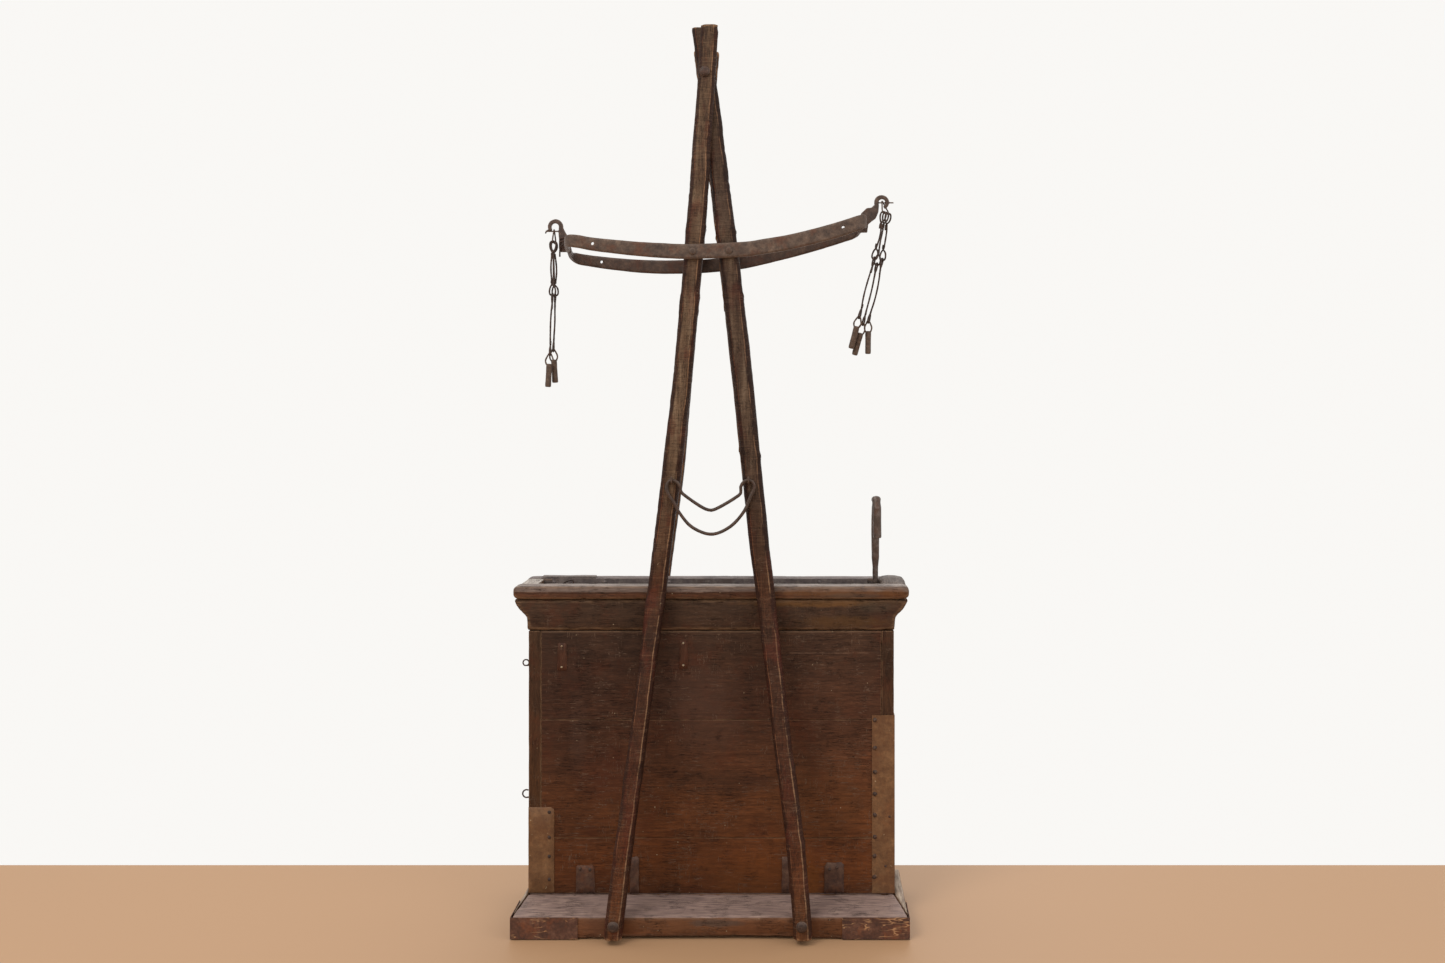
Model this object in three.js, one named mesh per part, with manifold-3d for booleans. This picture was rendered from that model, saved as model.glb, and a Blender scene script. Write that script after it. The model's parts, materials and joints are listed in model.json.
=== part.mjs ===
// An open-topped wooden box on a plinth, straddled by two pairs of crossed mast legs.
// The masts carry a forged iron yoke with a scroll hook at each end, and wire strands with
// toggle pegs hang from the hooks. A wire ring hangs on the front legs, and an upright iron
// hook stands in the right end of the box.
// Millimetres, +Z up, the front faces -Y. The origin is at the middle of the footprint.

import * as THREE from 'three';
import { mergeVertices } from 'three/addons/utils/BufferGeometryUtils.js';
import Module from 'manifold-3d';

const wasm = await Module();
wasm.setup();

// ---------------------------------------------------------------- driving dimensions
const GAP = 0.3; // clearance between pieces that touch

// plinth
const BASE_LEFT_X = -211.8;
const BASE_RIGHT_X = 218;
const BASE_FRONT_Y = -103.7;
const BASE_BACK_Y = 44.3;
const BASE_SIDE_BACK_Y = 35; // the side boards stop short of the back
const BASE_HEIGHT = 24.8;
const ARCH = { halfWidth: 148, height: 4, depth: 18 };
const CORNER_IRON = { thick: 0.7, front: 72, side: 46 };

// box
const BOX_HALF_WIDTH = 206.5;
const BOX_HALF_DEPTH = 40;
const WALL = 14;
const BOARD_TOPS = [87.6, 221, 321.6]; // upper edges of the three front board courses
const FRIEZE_TOP = 358;
const FRIEZE_PROUD = 0.7;
const RIM_TOP = 373;
const RIM_HALF_WIDTH = 223.6;
const BACK_RIM_TOP = 372;
const RIM_HALF_DEPTH = 44.25;
const RAIL_WIDTH = 19.75;
const END_RAILS = { left: [-221.5, -201], right: [194, 221.5], drop: 1.5 };

// thin metal on the box
const BAND = { thick: 1.2, height: 25, left: -192.5, right: 180, rivetRadius: 2.2 };
const BAND_RIVETS_X = [-190, -130, -54, -7, 123];
const TIN_THICK = 0.6;
const TIN_STRIP = { left: 181.7, side: 22, top: 226.6, nailX: 186.2, nailRadius: 1.9 };
const TIN_NAILS_Z = [220, 188, 161.5, 136, 113.5, 89, 67.6, 44.5];

// mast legs
const LEG_THICK = 18;
const LEG_FACE = 62.6; // outer face of the upright part of a leg, from the box's middle plane
const LAP_FACE = 52.7; // the same for the inner leg of a pair where the two cross
const LAP_THICK = 9.6; // thickness of each leg where the two cross
const CHAMFER = 4;
const BACK_CHAMFER = 1.6;
const REAR_SHIFT = -6; // the rear pair stands a little to the left
const MAST_BOLT = { x: -5.6, z: 948.7, radius: 3, head: 6.2, headHeight: 3.4 };
const FOOT_BOLT = { z: 22, radius: 1.8, head: 6.5, headHeight: 3.4, length: 46 };
const BOLT_CLEARANCE = 0.3;

// yoke
const STRAP_THICK = 4;
const STRAP_HALF_HEIGHT = { left: 6.8, middle: 8.3, right: 8.8 };
const STRAP_Y = 64.9; // from the box's middle plane to the middle of each strap
const STRAP_CORNER = 11;
const STRAP_HOLE_RADIUS = 1.7;
const STRAP_HOLES_X = { front: [-130.1, 148.4], rear: [-140.4] };
const RIVET = { radius: 2, head: 4.4, headHeight: 2 };
const HOOK_HALF_THICK = 1.8;
const PIN_RADIUS = 0.75;

// hanging wire
const WIRE = 0.7; // wire radius of the links
const SHACKLE_WIRE = 0.8;
const SHACKLE = { apex: 3, halfBar: 11, height: 13.6, corner: 2.2 };
const EYES = { xz: { half: 3.4, length: 13 }, yz: { half: 2.6, length: 12 } };
const STRAND_PITCH = 7.5;
const PEG = { radius: 3, length: 27, top: 10.5, halfBail: 5.2 };

// wire ring on the front legs
const RING_WIRE = 1.7;
const RING_Y = -65.5;
const RING_Z = 494;
const RING_NAILS_X = [-42.1, 43.2];
const RING_NAIL = { radius: 1.1, z: RING_Z - RING_WIRE - GAP - 1.1 };

// upright hook in the box
const HOOK_ROD = { x: 188.4, y: 8, radius: 3.8, tongueX: 191.8, tongueY: -12, tongueZ: 424, topZ: 468.6 };
const HOOK_STAPLE = { z: 330, height: 7, inner: 4.5, outer: 6.4 };

// ---------------------------------------------------------------- materials
function paint(hex, roughness, metalness) {
  return new THREE.MeshStandardMaterial({ color: hex, roughness, metalness });
}
const BOX_WOOD = paint(0x4a3428, 0.75, 0);
const RIM_WOOD = paint(0x5c4331, 0.7, 0);
const PLINTH_WOOD = paint(0x5a4340, 0.7, 0);
const MAST_WOOD = paint(0x45301f, 0.65, 0);
const IRON = paint(0x4c3d38, 0.7, 0.6);
const WIRE_IRON = paint(0x3f2f2a, 0.7, 0.6);
const BAND_IRON = paint(0x6d6c72, 0.6, 0.6);
const TIN = paint(0x8a6a45, 0.6, 0.5);

const rack = new THREE.Group();

function addNode(name, geometry, material, parent = rack) {
  const mesh = new THREE.Mesh(geometry, material);
  mesh.name = name;
  parent.add(mesh);
  return mesh;
}

// ---------------------------------------------------------------- solids
function toSolid(geometry) {
  const bare = geometry.clone();
  bare.deleteAttribute('normal');
  bare.deleteAttribute('uv');
  const merged = mergeVertices(bare, 1e-5);
  return new wasm.Manifold(new wasm.Mesh({
    numProp: 3,
    vertProperties: new Float32Array(merged.attributes.position.array),
    triVerts: new Uint32Array(merged.index.array),
  }));
}

function toGeometry(solid) {
  const mesh = solid.getMesh();
  const geometry = new THREE.BufferGeometry();
  geometry.setAttribute('position', new THREE.BufferAttribute(new Float32Array(mesh.vertProperties), 3));
  geometry.setIndex(new THREE.BufferAttribute(new Uint32Array(mesh.triVerts), 1));
  geometry.computeVertexNormals();
  return geometry;
}

function cut(geometry, tools) {
  return toGeometry(tools.reduce((solid, tool) => solid.subtract(toSolid(tool)), toSolid(geometry)));
}

function join(geometries) {
  const [first, ...rest] = geometries.map(toSolid);
  return toGeometry(rest.reduce((solid, other) => solid.add(other), first));
}

function block([x0, y0, z0], [x1, y1, z1]) {
  const geometry = new THREE.BoxGeometry(x1 - x0, y1 - y0, z1 - z0);
  return geometry.translate((x0 + x1) / 2, (y0 + y1) / 2, (z0 + z1) / 2);
}

// A flat outline drawn in X and Z, as thick as y0 to y1.
function plateXZ(shape, y0, y1, curveSegments = 10) {
  const geometry = new THREE.ExtrudeGeometry(shape, { depth: y1 - y0, bevelEnabled: false, curveSegments });
  return geometry.rotateX(Math.PI / 2).translate(0, y1, 0);
}

// A flat outline drawn in X and Y, as high as z0 to z1.
function plateXY(shape, z0, z1, curveSegments = 8) {
  const geometry = new THREE.ExtrudeGeometry(shape, { depth: z1 - z0, bevelEnabled: false, curveSegments });
  return geometry.translate(0, 0, z0);
}

function outline(points) {
  return new THREE.Shape(points.map(([a, b]) => new THREE.Vector2(a, b)));
}

// A closed body through rings of points; the rings all have the same number of points.
function loft(rings, closed = false) {
  const count = rings[0].length;
  const positions = rings.flat().flatMap((p) => [p.x, p.y, p.z]);
  const faces = [];
  const spans = closed ? rings.length : rings.length - 1;
  for (let i = 0; i < spans; i += 1) {
    const here = i * count;
    const next = ((i + 1) % rings.length) * count;
    for (let j = 0; j < count; j += 1) {
      const k = (j + 1) % count;
      faces.push(here + j, here + k, next + k, here + j, next + k, next + j);
    }
  }
  if (!closed) {
    const last = (rings.length - 1) * count;
    for (let j = 1; j < count - 1; j += 1) {
      faces.push(0, j + 1, j, last, last + j, last + j + 1);
    }
  }
  const geometry = new THREE.BufferGeometry();
  geometry.setAttribute('position', new THREE.Float32BufferAttribute(positions, 3));
  geometry.setIndex(faces);
  geometry.computeVertexNormals();
  return geometry;
}

// A round wire or rod along a curve. radiusAt gives the radius at 0..1 along it.
function rod(curve, steps, radiusAt, sides = 6, closed = false) {
  const frames = curve.computeFrenetFrames(steps, closed);
  const rings = [];
  const count = closed ? steps : steps + 1;
  for (let i = 0; i < count; i += 1) {
    const centre = curve.getPointAt(i / steps);
    const ring = [];
    for (let j = 0; j < sides; j += 1) {
      const angle = (j / sides) * Math.PI * 2;
      const radius = radiusAt(i / steps);
      ring.push(centre.clone()
        .addScaledVector(frames.normals[i], Math.cos(angle) * radius)
        .addScaledVector(frames.binormals[i], Math.sin(angle) * radius));
    }
    rings.push(ring);
  }
  return loft(rings, closed);
}

function smooth(points, closed = false) {
  return new THREE.CatmullRomCurve3(points.map((p) => new THREE.Vector3(...p)), closed, 'centripetal');
}

function cylinderY(x, z, y0, y1, radius, sides = 16) {
  const geometry = new THREE.CylinderGeometry(radius, radius, y1 - y0, sides);
  return geometry.translate(0, (y0 + y1) / 2, 0).translate(x, 0, z);
}

// A headed fastener along Y; heads is -1 or 1, the way the domed head faces.
function fastener(x, z, headY, facing, spec, length, sides = 16) {
  const profile = [
    [0, spec.headHeight],
    [spec.head * 0.62, spec.headHeight * 0.82],
    [spec.head, spec.headHeight * 0.2],
    [spec.head, 0],
    [spec.radius, 0],
    [spec.radius, -length],
    [0, -length],
  ].reverse();
  const geometry = new THREE.LatheGeometry(profile.map(([r, h]) => new THREE.Vector2(r, h)), sides);
  if (facing < 0) geometry.rotateX(Math.PI);
  return geometry.translate(x, headY, z);
}

function domedNail(x, y, z, axis, radius) {
  const dome = new THREE.SphereGeometry(radius, 8, 6).scale(1, 0.45, 1);
  if (axis === 'x') dome.rotateZ(Math.PI / 2);
  return dome.translate(x, y, z);
}

function mix(a, b, t) {
  return a + (b - a) * t;
}

// ---------------------------------------------------------------- plinth
// Three boards round a core; the front board meets the side boards in mitres.
function buildPlinth() {
  const left = BASE_LEFT_X;
  const right = BASE_RIGHT_X;
  const boxX = BOX_HALF_WIDTH + GAP;
  const boxFront = -BOX_HALF_DEPTH - GAP;
  const back = BASE_BACK_Y;

  const frontShape = outline([
    [left, BASE_FRONT_Y], [right, BASE_FRONT_Y], [boxX, boxFront], [-boxX, boxFront],
  ]);
  const arch = new THREE.Shape();
  arch.moveTo(-ARCH.halfWidth - 10, -2);
  arch.lineTo(ARCH.halfWidth + 10, -2);
  arch.lineTo(ARCH.halfWidth, 0);
  arch.quadraticCurveTo(ARCH.halfWidth * 0.5, ARCH.height, 0, ARCH.height);
  arch.quadraticCurveTo(-ARCH.halfWidth * 0.5, ARCH.height, -ARCH.halfWidth, 0);
  const boltSeat = BASE_FRONT_Y + FOOT_BOLT.length - LEG_THICK;
  const board = cut(plateXY(frontShape, 0, BASE_HEIGHT), [
    plateXZ(arch, BASE_FRONT_Y - 1, BASE_FRONT_Y + ARCH.depth),
    ...footXs(0).map((x) => cylinderY(x, FOOT_BOLT.z, BASE_FRONT_Y - 1, boltSeat,
      FOOT_BOLT.radius + BOLT_CLEARANCE)),
  ]);
  addNode('base_front_board', board, PLINTH_WOOD);

  addNode('base_left_board', plateXY(outline([
    [left, BASE_FRONT_Y + GAP * 12], [-boxX - GAP, boxFront], [-boxX - GAP, BASE_SIDE_BACK_Y],
    [left, BASE_SIDE_BACK_Y],
  ]), 0, BASE_HEIGHT), PLINTH_WOOD);
  addNode('base_right_board', plateXY(outline([
    [right, BASE_FRONT_Y + GAP * 6], [right, BASE_SIDE_BACK_Y], [boxX + GAP, BASE_SIDE_BACK_Y],
    [boxX + GAP, boxFront],
  ]), 0, BASE_HEIGHT), PLINTH_WOOD);

  const core = block([-BOX_HALF_WIDTH, -BOX_HALF_DEPTH, 0], [BOX_HALF_WIDTH, back, BASE_HEIGHT]);
  addNode('base_core', cut(core, footXs(REAR_SHIFT).map((x) => cylinderY(x, FOOT_BOLT.z,
    back - FOOT_BOLT.length + LEG_THICK, back + 1, FOOT_BOLT.radius + BOLT_CLEARANCE))), PLINTH_WOOD);

  const { thick, front, side } = CORNER_IRON;
  [['left', -1, left], ['right', 1, right]].forEach(([hand, towards, edge]) => {
    const face = BASE_FRONT_Y - GAP;
    const outer = edge + towards * GAP;
    const skin = outer + towards * thick;
    const shape = outline([
      [edge - towards * front, face], [outer, face], [outer, face + side], [skin, face + side],
      [skin, face - thick], [edge - towards * front, face - thick],
    ]);
    addNode(`base_corner_iron_${hand}`, plateXY(shape, 1, BASE_HEIGHT - 0.4), IRON);
  });
}

// ---------------------------------------------------------------- box
function friezeShape() {
  const low = BOARD_TOPS[2] + GAP;
  const top = FRIEZE_TOP;
  const half = [
    [BOX_HALF_WIDTH + 2.6, low], [BOX_HALF_WIDTH + 1.6, low + 5], [BOX_HALF_WIDTH + 2.4, top - 20],
    [BOX_HALF_WIDTH + 5.6, top - 17.5], [BOX_HALF_WIDTH + 10.5, top - 13], [RIM_HALF_WIDTH - 1.8, top - 6],
    [RIM_HALF_WIDTH - 0.2, top],
  ];
  return outline([...half, ...half.map(([x, z]) => [-x, z]).reverse()]);
}

// A long top rail; its ends are rounded like a lobe when seen from above and from the front.
function railShape(inner, outer) {
  const shape = new THREE.Shape();
  const nose = 3.5;
  const end = RIM_HALF_WIDTH;
  shape.moveTo(-end + nose, outer);
  shape.lineTo(end - nose, outer);
  shape.quadraticCurveTo(end, outer, end, outer + Math.sign(inner - outer) * nose);
  shape.lineTo(end, inner - Math.sign(inner - outer) * 3);
  shape.lineTo(end - 3, inner);
  shape.lineTo(-end + 3, inner);
  shape.lineTo(-end, inner - Math.sign(inner - outer) * 3);
  shape.lineTo(-end, outer + Math.sign(inner - outer) * nose);
  shape.quadraticCurveTo(-end, outer, -end + nose, outer);
  return shape;
}

function buildBox() {
  const x = BOX_HALF_WIDTH;
  const y = BOX_HALF_DEPTH;
  const floor = BASE_HEIGHT + GAP;
  const innerX = x - WALL;
  const boardX = innerX - GAP;

  addNode('left_end_wall', block([-x, -y, floor], [-innerX, y, BOARD_TOPS[2]]), BOX_WOOD);
  addNode('right_end_wall', block([innerX, -y, floor], [x, y, BOARD_TOPS[2]]), BOX_WOOD);

  const courses = ['lower', 'middle', 'upper'];
  courses.forEach((course, i) => {
    const low = i === 0 ? floor : BOARD_TOPS[i - 1] + GAP;
    addNode(`front_board_${course}`, block([-boardX, -y, low], [boardX, -y + WALL, BOARD_TOPS[i]]), BOX_WOOD);
  });
  addNode('back_panel', block([-boardX, y - WALL, floor], [boardX, y, BOARD_TOPS[2]]), BOX_WOOD);

  addNode('front_frieze', plateXZ(friezeShape(), -y - FRIEZE_PROUD, -y + WALL), BOX_WOOD);
  addNode('back_frieze', plateXZ(friezeShape(), y - WALL, y + FRIEZE_PROUD), BOX_WOOD);

  const low = FRIEZE_TOP + GAP;
  const outerY = RIM_HALF_DEPTH;
  const innerY = RIM_HALF_DEPTH - RAIL_WIDTH;
  addNode('front_top_rail', plateXY(railShape(-innerY, -outerY), low, RIM_TOP), RIM_WOOD);
  addNode('back_top_rail', plateXY(railShape(innerY, outerY), low, BACK_RIM_TOP), RIM_WOOD);

  const endY = innerY - GAP;
  const endLow = BOARD_TOPS[2] + GAP;
  const ends = [
    ['left_end_rail', ...END_RAILS.left, -x, -innerX],
    ['right_end_rail', ...END_RAILS.right, innerX, x],
  ];
  ends.forEach(([name, capLeft, capRight, wallLeft, wallRight]) => {
    const wallY = y - WALL - GAP;
    addNode(name, join([
      block([capLeft, -endY, FRIEZE_TOP - 1], [capRight, endY, RIM_TOP - END_RAILS.drop]),
      block([wallLeft, -wallY, endLow], [wallRight, wallY, FRIEZE_TOP]),
    ]), RIM_WOOD);
  });
}

// ---------------------------------------------------------------- thin metal on the box
function buildBoxMetal() {
  const inner = RIM_HALF_DEPTH - RAIL_WIDTH - GAP;
  const bandTop = BACK_RIM_TOP - 0.8;
  const rivets = BAND_RIVETS_X
    .map((x) => domedNail(x, inner - BAND.thick, bandTop - 4, 'y', BAND.rivetRadius));
  addNode('back_inner_band', join([
    block([BAND.left, inner - BAND.thick, bandTop - BAND.height], [BAND.right, inner, bandTop]),
    ...rivets,
  ]), BAND_IRON);

  const face = -BOX_HALF_DEPTH - GAP;
  const low = BASE_HEIGHT + GAP * 2;
  const corner = BOX_HALF_WIDTH + GAP;
  addNode('right_tin_strip', join([
    block([TIN_STRIP.left, face - TIN_THICK, low], [corner + TIN_THICK, face, TIN_STRIP.top]),
    block([corner, face - TIN_THICK, low], [corner + TIN_THICK, face + TIN_STRIP.side, TIN_STRIP.top]),
    ...TIN_NAILS_Z.map((z) => domedNail(TIN_STRIP.nailX, face - TIN_THICK, z, 'y', TIN_STRIP.nailRadius)),
  ]), TIN);
}

// ---------------------------------------------------------------- masts
// Each station is [z, x, outer face from the middle plane, thickness, width].
const LEFT_LEG = [
  [1002, -0.6, LEG_FACE, LAP_THICK, 20.4], [917, -5.6, LEG_FACE, LAP_THICK, 20.6],
  [818, -12.7, LEG_FACE, LAP_THICK, 21.6], [772, -16.4, LEG_FACE, LEG_THICK, 22],
  [720, -20.8, LEG_FACE, LEG_THICK, 21.6], [600, -31.8, LEG_FACE, LEG_THICK, 21.2],
  [500, -43.4, LEG_FACE, LEG_THICK, 21.6], [420, -53.5, LEG_FACE, LEG_THICK, 21],
  [366, -60.4, LEG_FACE, LEG_THICK, 20.6],
];
const RIGHT_LEG = [
  [1001, -11.8, LAP_FACE, LAP_THICK, 20], [919, -0.8, LAP_FACE, LAP_THICK, 20.6],
  [818, 11.5, LAP_FACE, LAP_THICK, 21.4], [772, 17.2, LEG_FACE, LEG_THICK, 22],
  [720, 23.6, LEG_FACE, LEG_THICK, 22.4], [600, 37.1, LEG_FACE, LEG_THICK, 22.6],
  [500, 47.1, LEG_FACE, LEG_THICK, 22.4], [420, 54.8, LEG_FACE, LEG_THICK, 21.6],
  [366, 61.6, LEG_FACE, LEG_THICK, 20.8],
];
const LEFT_FOOT = [[265, -71.4], [200, -78.7], [99, -90.4], [26, -98.4], [6, -100.2]];
const RIGHT_FOOT = [[265, 73.8], [200, 82], [99, 96], [26, 102.4], [6, 103.7]];
const REAR_LEFT_STRAIGHT = [[1002, -6.6], [500, -49.4]]; // the rear left leg has no bend up here
const FOOT_WIDTH = 19.8;

// The front legs swing forward below the rim to reach the front of the plinth,
// and the rear ones come straight down behind the box.
function legStations(upper, foot, front, straight) {
  const rimZ = upper[upper.length - 1][0];
  const rimFace = upper[upper.length - 1][2];
  const footFace = (front ? -BASE_FRONT_Y : BASE_BACK_Y) + GAP + LEG_THICK;
  const landing = BASE_HEIGHT + 1.2;
  const lower = foot.map(([z, x]) => {
    const t = Math.min(1, (rimZ - z) / (rimZ - landing));
    return [z, x, mix(rimFace, footFace, t), LEG_THICK, FOOT_WIDTH];
  });
  const [[topZ, topX], [lowZ, lowX]] = straight ?? [[0, 0], [0, 0]];
  const head = upper.map(([z, x, ...rest]) => (straight && z >= lowZ
    ? [z, mix(lowX, topX, (z - lowZ) / (topZ - lowZ)) - REAR_SHIFT, ...rest]
    : [z, x, ...rest]));
  return [...head, ...lower];
}

function legGeometry(stations, front) {
  const side = front ? -1 : 1;
  const shift = front ? 0 : REAR_SHIFT;
  const rings = stations.map(([z, x, face, thick, width]) => {
    const half = width / 2;
    const outer = face * side;
    const inner = (face - thick) * side;
    const section = [
      [-half + CHAMFER, outer], [half - CHAMFER, outer], [half, outer - CHAMFER * side],
      [half, inner + BACK_CHAMFER * side], [half - BACK_CHAMFER, inner], [-half + BACK_CHAMFER, inner],
      [-half, inner + BACK_CHAMFER * side], [-half, outer - CHAMFER * side],
    ];
    return section.map(([dx, y]) => new THREE.Vector3(x + shift + dx, y, z));
  });
  const ordered = front ? rings : rings.map((ring) => ring.slice().reverse());
  return loft(ordered.reverse());
}

function footXs(shift) {
  return [LEFT_FOOT, RIGHT_FOOT].map((foot) => foot[3][1] - 0.4 + shift);
}

function strapPoint(side, x) {
  const curve = strapCurve(side);
  for (let i = 0; i <= 200; i += 1) {
    const point = curve.getPointAt(i / 200);
    if (point.x >= x) return point;
  }
  return curve.getPointAt(1);
}

const RIVET_XS = [-19, 21.7];

function buildMasts() {
  [['front', true], ['rear', false]].forEach(([place, front]) => {
    const side = front ? -1 : 1;
    const shift = front ? 0 : REAR_SHIFT;
    [['left', LEFT_LEG, LEFT_FOOT], ['right', RIGHT_LEG, RIGHT_FOOT]].forEach(([hand, upper, foot], i) => {
      const straight = !front && hand === 'left' ? REAR_LEFT_STRAIGHT : null;
      const stations = legStations(upper, foot, front, straight);
      const rivetX = RIVET_XS[i] + shift;
      const footX = footXs(shift)[i];
      const holes = [
        cylinderY(MAST_BOLT.x, MAST_BOLT.z, -90, 90, MAST_BOLT.radius + BOLT_CLEARANCE),
        cylinderY(rivetX, strapPoint(side, rivetX).z, -90, 90, RIVET.radius + BOLT_CLEARANCE),
        cylinderY(footX, FOOT_BOLT.z, -140, 90, FOOT_BOLT.radius + BOLT_CLEARANCE),
      ];
      if (front) holes.push(ringNailHole(RING_NAILS_X[i]));
      addNode(`${place}_${hand}_leg`, cut(legGeometry(stations, front), holes), MAST_WOOD);

      const footFace = (front ? -BASE_FRONT_Y : BASE_BACK_Y) + GAP * 2 + LEG_THICK;
      addNode(`${place}_${hand}_foot_bolt`,
        fastener(footX, FOOT_BOLT.z, footFace * side, side, FOOT_BOLT, FOOT_BOLT.length - 8), IRON);

      const headY = STRAP_Y + STRAP_THICK / 2 + GAP;
      addNode(`${place}_${hand}_yoke_rivet`,
        fastener(rivetX, strapPoint(side, rivetX).z, headY * side, side, RIVET, 22), IRON);
    });
  });

  const boltHead = LEG_FACE + GAP;
  const boltEnd = boltHead + 6.5;
  addNode('mast_bolt', fastener(MAST_BOLT.x, MAST_BOLT.z, -boltHead, -1, MAST_BOLT, boltHead + boltEnd), IRON);
  const nut = new THREE.CylinderGeometry(6.4, 6.4, 4.6, 6).translate(0, boltHead + GAP + 2.3, 0);
  nut.translate(MAST_BOLT.x, 0, MAST_BOLT.z);
  addNode('mast_bolt_nut', cut(nut, [
    cylinderY(MAST_BOLT.x, MAST_BOLT.z, 60, 75, MAST_BOLT.radius + BOLT_CLEARANCE),
  ]), IRON);
}

// ---------------------------------------------------------------- yoke
// Middle line of each strap as [x, z]: both sag between the masts, and the right end is higher.
const FRONT_STRAP = [
  [-150, 759.5], [-132, 756.3], [-79, 750.7], [-21, 747.9], [34, 750], [87, 757.9], [140, 771.2], [167, 780.2],
];
const REAR_STRAP = [
  [-165, 752.3], [-126, 747], [-67, 743.3], [-10, 744.8], [28, 748.9], [86, 762.1], [144, 779.1], [160, 785.3],
];
// The returns at the two ends, from the front corner over the hook plate to the rear corner.
const END_RETURNS = {
  left: { front: [-161.5, 760.3], middle: [-168.5, 758], rear: [-174.5, 755.5] },
  right: { front: [174.8, 783.4], middle: [174, 786.6], rear: [172, 789] },
};

function strapCurve(side) {
  const y = STRAP_Y * side;
  return smooth((side < 0 ? FRONT_STRAP : REAR_STRAP).map(([x, z]) => [x, y, z]));
}

function strapPath(side) {
  const end = side < 0 ? 'front' : 'rear';
  const y = STRAP_Y * side;
  const butt = (HOOK_HALF_THICK + GAP) * side;
  const [lx, lz] = END_RETURNS.left[end];
  const [rx, rz] = END_RETURNS.right[end];
  const run = strapCurve(side).getPoints(15);
  const before = [
    new THREE.Vector3(END_RETURNS.left.middle[0], butt, END_RETURNS.left.middle[1]),
    new THREE.Vector3(lx, y - STRAP_CORNER * side, lz),
    new THREE.Vector3(lx + STRAP_CORNER * 0.3, y - STRAP_CORNER * 0.3 * side, lz),
  ];
  const after = [
    new THREE.Vector3(rx - STRAP_CORNER * 0.3, y - STRAP_CORNER * 0.3 * side, rz),
    new THREE.Vector3(rx, y - STRAP_CORNER * side, rz),
    new THREE.Vector3(END_RETURNS.right.middle[0], butt, END_RETURNS.right.middle[1]),
  ];
  return [...before, ...run, ...after];
}

function strapGeometry(side) {
  const path = strapPath(side);
  const rings = path.map((point, i) => {
    const back = path[Math.max(i - 1, 0)];
    const ahead = path[Math.min(i + 1, path.length - 1)];
    const along = new THREE.Vector2(ahead.x - back.x, ahead.y - back.y).normalize();
    const isEnd = i === 0 || i === path.length - 1;
    const across = isEnd ? new THREE.Vector2(Math.sign(i - 0.5) * -side, 0) : new THREE.Vector2(-along.y, along.x);
    const reach = Math.min(1, Math.abs(point.x) / 160);
    const tip = point.x < 0 ? STRAP_HALF_HEIGHT.left : STRAP_HALF_HEIGHT.right;
    const half = mix(STRAP_HALF_HEIGHT.middle, tip, reach * reach);
    const offset = across.multiplyScalar(STRAP_THICK / 2);
    const corners = [[1, -1], [1, 1], [-1, 1], [-1, -1]];
    return corners.map(([a, b]) => new THREE.Vector3(point.x + offset.x * a, point.y + offset.y * a, point.z + half * b));
  });
  return loft(rings);
}

// A flat forging of varying width along a line of [x, z, half width].
function bandOutline(line) {
  const sides = [[], []];
  line.forEach(([x, z, half], i) => {
    const back = line[Math.max(i - 1, 0)];
    const ahead = line[Math.min(i + 1, line.length - 1)];
    const along = new THREE.Vector2(ahead[0] - back[0], ahead[1] - back[1]).normalize();
    sides[0].push([x - along.y * half, z + along.x * half]);
    sides[1].push([x + along.y * half, z - along.x * half]);
  });
  return outline([...sides[0], ...sides[1].reverse()]);
}

// A stem that ends in a scroll; angles are in degrees, anticlockwise from +X.
function hookGeometry({ stem, centre, radius, start, end, width, tip, pin }) {
  const steps = 14;
  const scroll = Array.from({ length: steps + 1 }, (_, i) => {
    const angle = THREE.MathUtils.degToRad(mix(start, end, i / steps));
    return [centre[0] + Math.cos(angle) * radius, centre[1] + Math.sin(angle) * radius, mix(width, tip, i / steps)];
  });
  const wire = new THREE.CylinderGeometry(PIN_RADIUS, PIN_RADIUS, pin.to - pin.from, 8)
    .rotateZ(Math.PI / 2).translate((pin.to + pin.from) / 2, 0, pin.z);
  return join([
    plateXZ(bandOutline([...stem, ...scroll]), -HOOK_HALF_THICK, HOOK_HALF_THICK),
    wire,
  ]);
}

const LEFT_HOOK = {
  stem: [[-173.2, 754.6, 5.2], [-173.2, 759, 6.2], [-173.2, 765, 6.2], [-174.4, 771, 5], [-176.2, 776, 3.8]],
  centre: [-183.9, 783.5],
  radius: 6.6,
  start: -12,
  end: 215,
  width: 2.3,
  tip: 1.7,
  pin: { from: -195.5, to: -180, z: 778.4 },
  hang: -185.4,
};
const RIGHT_HOOK = {
  stem: [[173.6, 777.2, 4.6], [173.8, 788, 5.6], [177.4, 794.6, 7.4], [183, 799.2, 7.8], [187.2, 803, 4.6]],
  centre: [195.4, 811.8],
  radius: 6.4,
  start: 206,
  end: -66,
  width: 2.3,
  tip: 1.8,
  pin: { from: 190.4, to: 209.2, z: 811.6 },
  hang: 196.4,
};

function buildYoke() {
  [['front', -1], ['rear', 1]].forEach(([place, side]) => {
    const shift = side < 0 ? 0 : REAR_SHIFT;
    const rivets = RIVET_XS.map((x) => [x + shift, RIVET.radius + BOLT_CLEARANCE]);
    const pinholes = STRAP_HOLES_X[place].map((x) => [x, STRAP_HOLE_RADIUS]);
    const holes = [...rivets, ...pinholes]
      .map(([x, radius]) => cylinderY(x, strapPoint(side, x).z, side * STRAP_Y - 6, side * STRAP_Y + 6, radius));
    addNode(`${place}_yoke_strap`, cut(strapGeometry(side), holes), IRON);
  });

  addNode('left_yoke_hook', hookGeometry(LEFT_HOOK), IRON);
  addNode('right_yoke_hook', hookGeometry(RIGHT_HOOK), IRON);
}

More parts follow.
